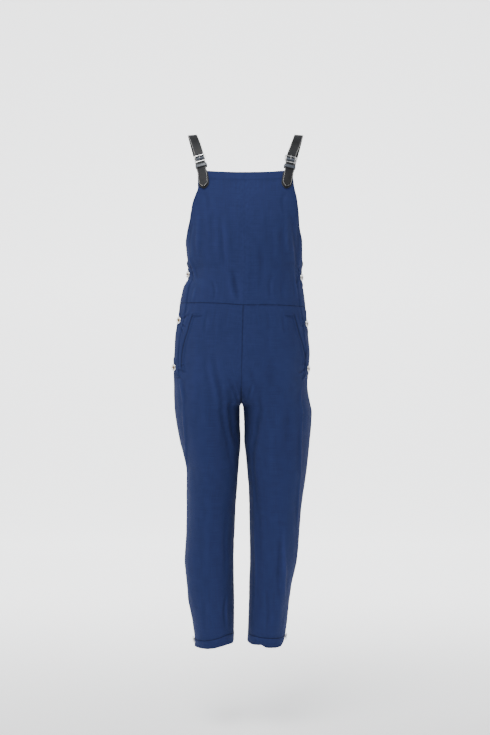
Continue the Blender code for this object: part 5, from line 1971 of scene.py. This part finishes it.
@dataclass
class PocketEdges(ClothMaker):
    """The stitched edges of the slanted pockets, each with its short bar on top.

    Attributes:
        width: Width of the edge strip.
        bar_length: Length of the bar.
        bar_height: Height of the bar.
        lift: Height of the strip's face over the cloth.
        thick: Thickness of the strip.
        inner_lift: Height of its inner edge, which runs out on the cloth.
        top: Height of its upper end.
        bottoms: Height of its lower end on each side.
    """

    width: float = 0.0068
    bar_length: float = 0.0225
    bar_height: float = 0.0048
    lift: float = 0.0013
    thick: float = 0.0010
    inner_lift: float = 0.00015
    top: float = -0.4410
    bottoms: dict[int, float] = field(default_factory=lambda: {-1: -0.5775, 1: -0.5615})

    def mouth(self, side: int, levels: np.ndarray) -> np.ndarray:
        """The mouth's distance from the centre line, kept in front of the placket."""
        most = self.form.beside(side, PLACKET_FRONT - 0.0015, levels)
        return np.minimum(self.form.mouth_at(side, levels), self.form.across(side, most, levels))

    def fall(self, share: np.ndarray | float, lift: float) -> np.ndarray:
        """How far the face lies below its lift, by share of the width from the mouth."""
        return (lift - self.inner_lift) * smooth_step(share, 0.25, 1.0)

    def strip(self, side: int, levels: np.ndarray, width: float, lift: float) -> ClothPatch:
        """A strip inwards from the mouth, with painted shade along the mouth, and run out on its inner edge.
        """
        shares = end_heavy(max(6, self.steps(width)))
        mouth = self.mouth(side, levels)
        lines = [self.form.around_at(side, mouth - width * share, levels) for share in shares]
        arounds = np.stack(lines, axis=1)
        heights = np.repeat(levels[:, None], len(shares), axis=1)
        fall = self.fall(shares, lift) + 0.0004 * np.exp(-shares * width / 0.0006)
        extra = np.repeat(-fall[None, :], len(levels), axis=0)
        # Distance from the mouth, along which the cloth's finish paints shade.
        shade_line_distance = np.repeat(shares[None, :] * width, len(levels), axis=0)
        return ClothPatch(np.full(len(shares), side), arounds, heights, lift, self.thick, extra, shade_line_distance)

    def build(self) -> None:
        """Builds both pockets' edges with their stitches and bar tacks."""
        for side in Side:
            bottom = self.bottoms[side]
            levels = np.linspace(self.top, bottom, self.steps(self.top - bottom) * 2)
            bar_levels = np.linspace(self.top, self.top - self.bar_height, 6)
            strip = self.strip(side, levels, self.width, self.lift)
            bar = self.strip(side, bar_levels, self.bar_length, self.lift + 0.0003)
            cloth = self.make(f"pocket_edge_{side.word}", strip, bar)
            rows = []
            inner = np.linspace(self.top - 0.006, bottom + 0.002, 60)
            for inset in (0.0018, 0.0052):
                places = self.form.around_at(side, self.mouth(side, inner) - inset, inner)
                lift = self.lift - float(self.fall(inset / self.width, self.lift))
                rows.append(self.row_of(side, places, inner, lift))
            for level in (self.top - 0.0015, self.top - 0.0034, bottom + 0.0015, bottom + 0.0032):
                upper = level > self.top - 0.01
                reach, full = (self.bar_length, self.lift + 0.0003) if upper else (self.width, self.lift)
                offsets = np.linspace(0.001, reach - 0.001, 10)
                where = np.full(10, level)
                places = self.form.around_at(side, self.mouth(side, where) - offsets, where)
                rows.append(self.row_of(side, places, where, full - self.fall(offsets / reach, full)))
            sewn = [CLOTH_STITCH.sew(f"pocket_stitches_{side.word}", rows)]


# --- Straps, buckles and snaps --------------------------------------------------------------------


# Distance out on the right and left, y, height, turn and roll of the strap's free part.
STRAP_ROUTE = (
    (0.1072, 0.1085, -0.0795, -0.0700, 12.0, 1.0),
    (0.1143, 0.1178, -0.0650, -0.0430, 8.0, 3.0),
    (0.1232, 0.1268, -0.0400, -0.0165, 3.0, 5.0),
    (0.1286, 0.1313, -0.0110, -0.0020, 0.0, 5.0),
    (0.1286, 0.1313, 0.0150, -0.0030, 0.0, 5.0),
    (0.1256, 0.1286, 0.0430, -0.0135, -3.0, 4.0),
    (0.1181, 0.1213, 0.0680, -0.0400, -8.0, 2.0),
    (0.1092, 0.1120, 0.0840, -0.0760, -12.0, 1.0),
    (0.1035, 0.1050, 0.0935, -0.1200, -14.0, 0.0),
)
# Distance out on the right and left and height, where the strap lies on the bib and on its back.
STRAP_ON_BIB = (
    (0.0966, 0.0970, -0.1393),
    (0.0984, 0.1000, -0.1190),
    (0.1006, 0.1034, -0.1020),
    (0.1020, 0.1048, -0.0930),
)
STRAP_ON_BACK = ((0.1000, 0.1005, -0.1850), (0.0980, 0.0980, -0.2050), (0.0960, 0.0960, -0.2250))
TRIM_LIFT = 0.0005
TAB_THICK = 0.0018
STRAP_CLEAR = 0.0005
STRAP_THICK = 0.0025
STRAP_WIDTH = 0.022


class StrapTrack:
    """The line that a strap's middle follows, from its tip to its end on the back.

    Attributes:
        side: The wearer's side.
        along: Length from the tip at fine steps.
        path: Points there.
        turning: Directions across the strap there.
    """

    def __init__(self, form: WornForm, side: int) -> None:
        """Lays the line over the shoulder.

        Args:
            form: The form that its ends lie on.
            side: The wearer's side.
        """
        self.form = form
        self.side = side
        pick = 0 if side < 0 else 1
        lift = TRIM_LIFT + TAB_THICK + STRAP_CLEAR + STRAP_THICK / 2
        rows = [self._on_form(row[pick], row[2], lift, False) for row in STRAP_ON_BIB]
        for row in STRAP_ROUTE:
            turn = math.radians(row[4])
            roll = math.radians(row[5])
            across = (math.cos(turn) * math.cos(roll), side * math.sin(turn), -side * math.sin(roll))
            rows.append((np.array([side * row[pick], row[2], row[3] + STRAP_THICK / 2]), np.array(across)))
        back_lift = TRIM_LIFT + STRAP_THICK / 2
        rows += [self._on_form(row[pick], row[2], back_lift, True) for row in STRAP_ON_BACK]
        points = np.array([point for point, _ in rows])
        across = np.array([direction for _, direction in rows])
        lengths = np.concatenate([[0], np.cumsum(np.linalg.norm(np.diff(points, axis=0), axis=1))])
        slopes = np.gradient(points, lengths, axis=0)
        fine = np.linspace(0, lengths[-1], 600)
        self.path = hermite(lengths, points, slopes, fine)
        self.turning = np.stack([np.interp(fine, lengths, line) for line in across.T], axis=-1)
        steps = np.linalg.norm(np.diff(self.path, axis=0), axis=1)
        self.along = np.concatenate([[0], np.cumsum(steps)])

    def _on_form(self, out: float, height: float, lift: float, behind: bool) -> tuple[np.ndarray, np.ndarray]:
        """A point over the bib at this distance from x = 0, and the direction across there."""
        centre = float(self.form.section["centre"].at(height))
        around = float(self.form.around_at(self.side, out - self.side * centre, height, behind))
        point = self._smooth(around, height, lift)
        step = -0.02 if behind else 0.02
        across = self._smooth(around + step, height, lift) - self._smooth(around - step, height, lift)
        return point, self.side * unit(across)

    def _smooth(self, around: float, height: float, lift: float) -> np.ndarray:
        """A point over the plain form, so that the strap doesn't follow the cloth's fine creases."""
        plain = self.form.plain(self.side, around, height)
        return plain + self.form.normal(self.side, around, height) * lift

    def at(self, length: float) -> tuple[np.ndarray, np.ndarray, np.ndarray, np.ndarray]:
        """Point, direction ahead, across and out at this length from the tip."""
        def point_at(distance: float) -> np.ndarray:
            """The point at a distance along the track."""
            return np.array([np.interp(distance, self.along, self.path[:, k]) for k in range(3)])

        step = 0.002
        total = self.along[-1]
        inside = min(max(length, step), total - step)
        ahead = unit(point_at(inside + step) - point_at(inside - step))
        point = point_at(length) + ahead * (min(length, 0.0) + max(length - total, 0.0))
        across = np.array([np.interp(length, self.along, self.turning[:, k]) for k in range(3)])
        across = unit(across - ahead * (across @ ahead))
        return point, ahead, across, np.cross(across, ahead)


@dataclass
class Straps:
    """Leather straps, their backing tabs and keepers, with the buckles that hold them.

    Attributes:
        form: The form the straps' ends lie on.
        buckle_at: Length up each strap at which its buckle's middle lies.
        keeper_at: The same for its keeper.
        point_length: Length of the pointed ends of strap and tab.
        tip_power: How full the strap's point is.
        tab_power: How full the tab's point is.
        tab_width: Width of the tab.
        tab_neck: Its width where it loops round the pin.
        tab_end: Where the tab's point lies, measured from the strap's tip.
        under_bars: How far the strap's plain route lies from the frame's middle plane, below if negative.
        over_bar: How far the strap's middle lies above that plane where it passes over the pin.
        bulge: Length before and after the pin in which it rises and falls.
        buckle_width: Width of the frame.
        buckle_length: Its length.
        buckle_wall: Width of its wire.
        buckle_thick: Thickness of its wire.
        buckle_corner: Radius of its corners.
        bar_radius: Radius of the pin.
        bar_drop: How far the pin lies below the frame.
        keeper_length: Length of the keeper along the strap.
        keeper_wall: Its thickness.
        keeper_width: Its width.
        keeper_room: Its room round strap and tab.
        row_inset: Distance of the strap's stitches from its edges.
        box_half: Half the width of the stitched box at the strap's end.
    """

    form: WornForm
    buckle_at: dict[int, float] = field(default_factory=lambda: {-1: 0.0735, 1: 0.0705})
    keeper_at: dict[int, float] = field(default_factory=lambda: {-1: 0.0530, 1: 0.0505})
    point_length: float = 0.013
    tip_power: float = 0.85
    tab_power: float = 0.72
    tab_width: float = 0.0255
    tab_neck: float = 0.0200
    tab_end: float = -0.0035
    under_bars: float = -0.0031
    over_bar: float = 0.0008
    bulge: float = 0.0065
    buckle_width: float = 0.0290
    buckle_length: float = 0.0195
    buckle_wall: float = 0.0022
    buckle_thick: float = 0.0021
    buckle_corner: float = 0.0024
    bar_radius: float = 0.0011
    bar_drop: float = 0.0048
    keeper_length: float = 0.0090
    keeper_wall: float = 0.0016
    keeper_width: float = 0.0275
    keeper_room: float = 0.0009
    row_inset: float = 0.0011
    box_half: float = 0.009

    def strap_half(self, length: float) -> float:
        """Half the strap's width, which runs to a point at its tip."""
        t = min(1.0, max(0.0, length + 0.0006) / self.point_length)
        return STRAP_WIDTH / 2 * math.sin(t * math.pi / 2) ** self.tip_power

    def tab_half(self, length: float) -> float:
        """Half the tab's width, pointed below and narrowed to its neck above."""
        t = min(1.0, max(0.0, length - self.tab_end + 0.0006) / self.point_length)
        half = self.tab_width / 2 * math.sin(t * math.pi / 2) ** self.tab_power
        return mix(half, self.tab_neck / 2, float(smooth_step(length, 0.030, 0.045)))

    def rise(self, side: int, length: float) -> float:
        """How far the strap leaves its plain route to pass under the bars and over the pin."""
        over = np.clip(1 - abs(length - self.buckle_at[side]) / self.bulge, 0, 1)
        return (self.over_bar - self.under_bars) * float(over * over * (3 - 2 * over))

    def leather(self, book: MeshBook, stations: Sequence[tuple], thick: float) -> None:
        """Adds a leather strip through stations.

        Args:
            book: The mesh.
            stations: (centre, across, out, half width, polish) along the strip, polish being the share of
                painted sheen.
            thick: Its thickness.
        """
        rings = []
        wear = []
        for centre, across, out, half, pin_sheen in stations:
            section = rounded_section(half, thick, 0.0008, 0.00012)
            rings.append([centre + across * x + out * z for x, z in section])
            inset = np.clip((half - np.abs(section[:, 0])) / 0.0012, 0, 1)
            # Edges rubbed lighter, and painted sheen where the strap bulges over the pin.
            wear.append(np.maximum(0.22 * (1 - inset), pin_sheen))
        ring_strip(book, np.array(rings), False, wear=np.array(wear))

    def strap_lengths(self, side: int, total: float) -> np.ndarray:
        """Stations along the strap, closer at its tip and through the buckle."""
        tip = np.array([0.0, 0.0004, 0.001, 0.002, 0.0032, 0.0048, 0.0068, 0.009, 0.0112, 0.0135])
        pin = self.buckle_at[side]
        lower = np.arange(0.016, pin - self.bulge, 0.0022)
        through = np.linspace(pin - self.bulge, pin + self.bulge, 15)
        rest = np.arange(pin + self.bulge + 0.0022, total - 0.003, 0.0030)
        end = np.array([total - 0.0016, total - 0.0004, total])
        return np.concatenate([tip, lower, through, rest, end])

    def build_strap(self, side: Side, track: StrapTrack) -> None:
        """Builds one strap with its pale edge stitches."""
        total = float(track.along[-1])
        stations = []
        for length in self.strap_lengths(side, total):
            point, _, across, out = track.at(float(length))
            half = self.strap_half(float(length))
            if length > total - 0.0015:
                half -= 0.0007 * (length - total + 0.0015) / 0.0015
            rise = self.rise(side, float(length))
            # Painted sheen on the strap where it rises over the pin.
            pin_sheen = rise / (self.over_bar - self.under_bars)
            stations.append((point + out * rise, across, out, half, pin_sheen))
        book = MeshBook()
        self.leather(book, stations, STRAP_THICK)
        book.stand_for(f"strap_{side.word}", Stuff.LEATHER, LEATHER)
        lift = STRAP_THICK / 2 + LEATHER_STITCH.radius - THREAD_SINK * 1.5
        rows = []
        for sign in (-1, 1):
            row = []
            for length in np.arange(0.0016, total - 0.004, 0.0022):
                point, _, across, out = track.at(float(length))
                off = max(0.0, self.strap_half(float(length)) - self.row_inset)
                row.append(point + out * (self.rise(side, float(length)) + lift) + across * sign * off)
            rows.append(np.array(row))
        lows = [total - 0.0045, total - 0.0280]
        for length in lows:
            point, _, across, out = track.at(float(length))
            line = np.linspace(-self.box_half, self.box_half, 8)
            rows.append(np.array([point + out * lift + across * x for x in line]))
        for sign in (-1, 1):
            row = []
            for share in np.linspace(0, 1, 9):
                point, _, across, out = track.at(float(mix(lows[0], lows[1], share)))
                row.append(point + out * lift + across * sign * mix(-self.box_half, self.box_half, share))
            rows.append(np.array(row))
        LEATHER_STITCH.sew(f"strap_stitches_{side.word}", rows)

    def build_tab(self, side: Side, track: StrapTrack) -> None:
        """Builds one backing tab, which loops up round the buckle's pin."""
        under = -(STRAP_THICK / 2 + STRAP_CLEAR + TAB_THICK / 2)
        pin = self.buckle_at[side]
        stations = []
        tip = np.array([-0.0035, -0.0031, -0.0025, -0.0015, -0.0003, 0.0013, 0.0033, 0.0055, 0.0078, 0.0100])
        for length in np.concatenate([tip, np.arange(0.0125, 0.0581, 0.0022)]):
            point, _, across, out = track.at(float(length))
            stations.append((point + out * under, across, out, self.tab_half(float(length)), 0.0))
        point, ahead, across, out = track.at(pin)
        pin_centre = point + out * (-self.bar_drop - self.under_bars)
        loop = self.bar_radius + CONTACT + TAB_THICK / 2
        for degrees in range(-90, 136, 15):
            angle = math.radians(degrees)
            away = ahead * math.cos(angle) + out * math.sin(angle)
            stations.append((pin_centre + away * loop, across, -away, self.tab_neck / 2, 0.0))
        book = MeshBook()
        self.leather(book, stations, TAB_THICK)
        book.stand_for(f"strap_tab_{side.word}", Stuff.LEATHER, LEATHER)

    def build_keeper(self, side: Side, track: StrapTrack) -> None:
        """Builds one keeper, a leather loop with rounded edges round strap and tab."""
        point, ahead, across, out = track.at(self.keeper_at[side])
        low = -(STRAP_THICK / 2 + STRAP_CLEAR + TAB_THICK + self.keeper_room) - self.keeper_wall / 2
        high = STRAP_THICK / 2 + self.keeper_room + self.keeper_wall / 2
        half = (self.keeper_width - self.keeper_wall) / 2
        radius = 0.0018
        section = rounded_section(self.keeper_length / 2, self.keeper_wall, 0.0006, 0.0005)
        rings = []
        wear = []
        corners = ((1, low, -90), (1, high, 0), (-1, high, 90), (-1, low, 180))
        for sign, level, start in corners:
            centre_z = level + (radius if level < 0 else -radius)
            for degrees in (0, 18, 36, 54, 72, 90):
                angle = math.radians(start + degrees)
                away = across * math.cos(angle) + out * math.sin(angle)
                middle = point + across * sign * (half - radius) + out * centre_z + away * radius
                rings.append([middle + ahead * x + away * z for x, z in section])
                inset = np.clip((self.keeper_length / 2 - np.abs(section[:, 0])) / 0.0014, 0, 1)
                # Painted sheen: a lighter band along the keeper's middle, where its glossy face catches the
                # light.
                wear.append(0.60 * inset)
        book = MeshBook()
        ring_strip(book, np.array(rings), True, wear=np.array(wear))
        book.stand_for(f"strap_keeper_{side.word}", Stuff.LEATHER, KEEPER_LEATHER)

    def rod(self, book: MeshBook, points: Sequence[np.ndarray], radius: float, up: np.ndarray) -> None:
        """Adds a round rod with domed ends through points."""
        line = np.array(points)
        heads = unit(np.gradient(line, axis=0))
        stations = [(point, head, radius) for point, head in zip(line, heads)]
        for share, size in ((0.6, 0.80), (0.95, 0.30)):
            stations.insert(0, (line[0] - heads[0] * share * radius, heads[0], radius * size))
            stations.append((line[-1] + heads[-1] * share * radius, heads[-1], radius * size))
        rings = []
        for point, head, size in stations:
            aside = up if abs(float(head @ up)) < 0.95 else [1.0, 0.0, 0.0]
            first = unit(np.cross(aside, head))
            second = np.cross(head, first)
            angles = np.linspace(0, 2 * math.pi, 12, endpoint=False)
            rings.append([point + size * (first * math.cos(a) + second * math.sin(a)) for a in angles])
        ring_strip(book, np.array(rings), False)

    def build_buckle(self, side: Side, track: StrapTrack) -> None:
        """Builds one buckle: its frame with the pin across it, and its prong."""
        point, ahead, across, out = track.at(self.buckle_at[side])
        base = point - out * self.under_bars

        def place(x: float, y: float, z: float) -> np.ndarray:
            """A point in the buckle's own frame."""
            return base + across * x + ahead * y + out * z

        half_x = self.buckle_width / 2 - self.buckle_wall / 2 - self.buckle_corner
        half_y = self.buckle_length / 2 - self.buckle_wall / 2 - self.buckle_corner
        rings = []
        for sign_x, sign_y, start in ((1, 1, 0), (-1, 1, 90), (-1, -1, 180), (1, -1, 270)):
            for degrees in np.linspace(0, 90, 8):
                angle = math.radians(start + degrees)
                away = across * math.cos(angle) + ahead * math.sin(angle)
                middle = place(sign_x * half_x, sign_y * half_y, 0.0) + away * self.buckle_corner
                turns = np.linspace(0, 2 * math.pi, 16, endpoint=False)
                power = 0.8
                ring = []
                for turn in turns:
                    flat = math.copysign(abs(math.cos(turn)) ** power, math.cos(turn)) * self.buckle_wall / 2
                    rise = math.copysign(abs(math.sin(turn)) ** power, math.sin(turn)) * self.buckle_thick / 2
                    ring.append(middle + away * flat + out * rise)
                rings.append(ring)
        book = MeshBook()
        ring_strip(book, np.array(rings), True)
        rail = self.buckle_width / 2 - self.buckle_wall / 2 - 0.0003
        drop = self.bar_drop
        bend = 0.0016
        half_line = [(rail, 0.0), (rail, bend - drop)]
        for angle in np.linspace(0.3, 1.27, 4):
            half_line.append((rail - bend * (1 - math.cos(angle)), bend * (1 - math.sin(angle)) - drop))
        half_line.append((rail - bend, -drop))
        line = [place(-x, 0, z) for x, z in half_line] + [place(x, 0, z) for x, z in reversed(half_line)]
        self.rod(book, line, self.bar_radius, ahead)
        book.stand_for(f"buckle_{side.word}", Stuff.METAL, NICKEL)

        prong_radius = 0.0008
        rest = self.buckle_thick / 2 + CONTACT + prong_radius
        root = self.over_bar + STRAP_THICK / 2 + CONTACT + prong_radius
        reach = self.buckle_length / 2 + 0.0008
        line = [place(0, -0.0012, root), place(0, 0.0008, root)]
        for share in np.linspace(0, 1, 8):
            level = mix(root, rest, float(smooth_step(share, 0, 1)))
            line.append(place(0, mix(0.0030, reach, share), level))
        book = MeshBook()
        self.rod(book, line, prong_radius, across)
        book.stand_for(f"buckle_prong_{side.word}", Stuff.METAL, DULL_NICKEL)

    def build(self) -> None:
        """Builds both straps with everything on them."""
        for side in Side:
            track = StrapTrack(self.form, side)
            self.build_strap(side, track)
            self.build_tab(side, track)
            self.build_keeper(side, track)
            self.build_buckle(side, track)


@dataclass
class Snaps:
    """Ring snaps with nickel rims and aged brass centres.

    Attributes:
        form: The form the snaps stand on.
        segments: Steps around a snap.
        tilts: How far a snap leans to the front, as the cloth pulls it, as a slope on each side.
        raised: How far its middle stands up for a slope of one.
        rim: Outline of foot and ring as (radius, height), from below to the centre.
        centre: Outline of the brass post inside the ring.
    """

    form: WornForm
    segments: int = 40
    tilts: dict[int, float] = field(default_factory=lambda: {-1: 0.30, 1: 0.12})
    raised: float = 0.0020
    rim: tuple[tuple[float, float], ...] = (
        (0.0000, -0.0006),
        (0.0044, -0.0006),
        (0.0045, 0.0004),
        (0.0079, 0.0006),
        (0.0084, 0.0009),
        (0.0085, 0.0014),
        (0.0084, 0.0019),
        (0.0080, 0.0025),
        (0.0073, 0.0029),
        (0.0065, 0.0030),
        (0.0057, 0.0028),
        (0.0050, 0.0023),
        (0.0046, 0.0015),
        (0.0045, 0.0010),
        (0.0000, 0.0009),
    )
    centre: tuple[tuple[float, float], ...] = (
        (0.0000, 0.0008),
        (0.0043, 0.0008),
        (0.0043, 0.0012),
        (0.0038, 0.0014),
        (0.0028, 0.0013),
        (0.0024, 0.0015),
        (0.0022, 0.0021),
        (0.0016, 0.0024),
        (0.0008, 0.0021),
        (0.0000, 0.0020),
    )

    def lathe(
        self,
        book: MeshBook,
        outline: Sequence[Sequence[float]],
        base: np.ndarray,
        axes: np.ndarray,
        slot: int,
    ) -> None:
        """Turns an outline round the snap's axis.

        Args:
            book: The mesh.
            outline: (radius, height) from one pole to the other.
            base: Point on the axis at height 0.
            axes: Two directions across and one out.
            slot: The material's number.
        """
        angles = np.linspace(0, 2 * math.pi, self.segments, endpoint=False)
        circle = np.cos(angles)[:, None] * axes[0] + np.sin(angles)[:, None] * axes[1]
        middle = outline[1:-1]
        points = [base + axes[2] * outline[0][1]]
        for radius, height in middle:
            points += list(base + axes[2] * height + circle * radius)
        points.append(base + axes[2] * outline[-1][1])
        faces = []
        count = self.segments
        for k in range(count):
            after = (k + 1) % count
            faces.append((0, 1 + after, 1 + k))
            for m in range(len(middle) - 1):
                low = 1 + m * count
                high = low + count
                faces.append((low + k, low + after, high + after, high + k))
            last = 1 + (len(middle) - 1) * count
            faces.append((last + k, last + after, len(points) - 1))
        book.add(np.array(points), faces, None, slot)

    def add(self, name: str, side: int, around: float, height: float, lift: float) -> None:
        """Builds one snap, just clear of the cloth."""
        tilt = self.tilts[side]
        out = unit(self.form.normal(side, around, height) - np.array([0.0, tilt, 0.0]))
        base = self.form.cloth(side, around, height, lift + CONTACT + 0.0006 + self.raised * tilt)
        first = unit(np.cross([0.0, 0.0, 1.0], out))
        axes = np.stack([first, np.cross(out, first), out])
        book = MeshBook()
        self.lathe(book, self.rim, base, axes, 0)
        self.lathe(book, self.centre, base, axes, 1)
        book.stand_for(name, Stuff.METAL, NICKEL, BRASS)

    def build(self) -> None:
        """Builds the three snaps of each side and the one at each hem."""
        for side in Side:
            for place, heights in SNAP_HEIGHTS.items():
                height = heights[side]
                around = float(self.form.beside(side, SNAP_ACROSS, np.array(height)))
                self.add(f"snap_{place}_{side.word}", side, around, height, PLACKET_LIFT + PLACKET_CLOTH)
            line = float(self.form.side_line(side, float(self.form.hem(side, 1.0))))
            seam = float(self.form.hem(side, line))
            edge = float(self.form.hem(side, line, "edge"))
            self.add(f"snap_hem_{side.word}", side, line, mix(seam, edge, 0.40), 0.0004)


# --- Studio ---------------------------------------------------------------------------------------


@dataclass
class Studio:
    """A plain pale floor and backdrop, soft light and the camera.

    Attributes:
        floor: Height of the floor.
        distance: The camera's distance from the garment's middle plane.
        eye: Height of the camera.
        lens: Focal length in millimetres.
    """

    floor: float = -1.455
    distance: float = 3.0
    eye: float = -0.567
    lens: float = 60.0

    def backdrop(self) -> None:
        """One curved sheet: floor, a wide bend and a wall."""
        back = 4.5
        radius = 1.4
        top = 4.2
        width = 13.0
        line = [(-5.0, self.floor), (back - radius, self.floor)]
        for k in range(1, 17):
            angle = math.pi / 2 * k / 16
            rise = radius * (1 - math.cos(angle))
            line.append((back - radius + radius * math.sin(angle), self.floor + rise))
        line.append((back, top))
        points = np.array([[(x, y, z) for x in np.linspace(-width / 2, width / 2, 5)] for y, z in line])
        book = MeshBook()
        book.add(points.reshape(-1, 3), grid_faces(len(line), 5, 0, True))
        book.make("studio_backdrop", [STUDIO])

    def lamp(
        self, name: str, place: Sequence[float], size: float, power: float, colour: Sequence[float]
    ) -> None:
        """A square soft lamp that faces the garment."""
        data = bpy.data.lights.new(name, "AREA")
        data.shape = "SQUARE"
        data.size = size
        data.energy = power
        data.color = colour
        lamp = bpy.data.objects.new(name, data)
        lamp.location = place
        aim = Vector((0.0, 0.0, -0.55)) - Vector(place)
        lamp.rotation_euler = aim.to_track_quat("-Z", "Y").to_euler()
        bpy.context.scene.collection.objects.link(lamp)

    def build(self) -> None:
        """Sets the studio up."""
        self.backdrop()
        self.lamp("key_light", (-0.6, -1.4, 1.55), 1.4, 75.0, (1.0, 0.995, 0.985))
        self.lamp("fill_light", (2.0, -1.9, 1.3), 2.0, 12.0, (0.97, 0.985, 1.0))
        self.lamp("side_light_right", (-2.3, 0.5, 0.4), 1.6, 17.0, (1.0, 1.0, 1.0))
        self.lamp("side_light_left", (2.3, 0.5, 0.4), 1.6, 15.0, (1.0, 1.0, 1.0))
        world = bpy.data.worlds.new("pale_room")
        world.use_nodes = True
        world.node_tree.nodes["Background"].inputs["Color"].default_value = (0.95, 0.97, 1.0, 1.0)
        world.node_tree.nodes["Background"].inputs["Strength"].default_value = 0.34
        bpy.context.scene.world = world
        data = bpy.data.cameras.new("photo_camera")
        data.lens = self.lens
        data.sensor_width = 36.0
        camera = bpy.data.objects.new("photo_camera", data)
        camera.location = (0.0, -self.distance, self.eye)
        camera.rotation_euler = (math.pi / 2, 0.0, 0.0)
        bpy.context.scene.collection.objects.link(camera)
        bpy.context.scene.camera = camera


def main() -> None:
    """Builds every sub-assembly in order."""
    logging.basicConfig(level=logging.INFO, format="%(name)s %(message)s")
    form = WornForm()
    makers = [kind(form) for kind in (Bib, Trousers, HemBands, Plackets, PocketEdges, Straps, Snaps)]
    for maker in (*makers, Studio()):
        maker.build()
        LOG.info("%s done", type(maker).__name__)


if __name__ == "__main__":
    main()
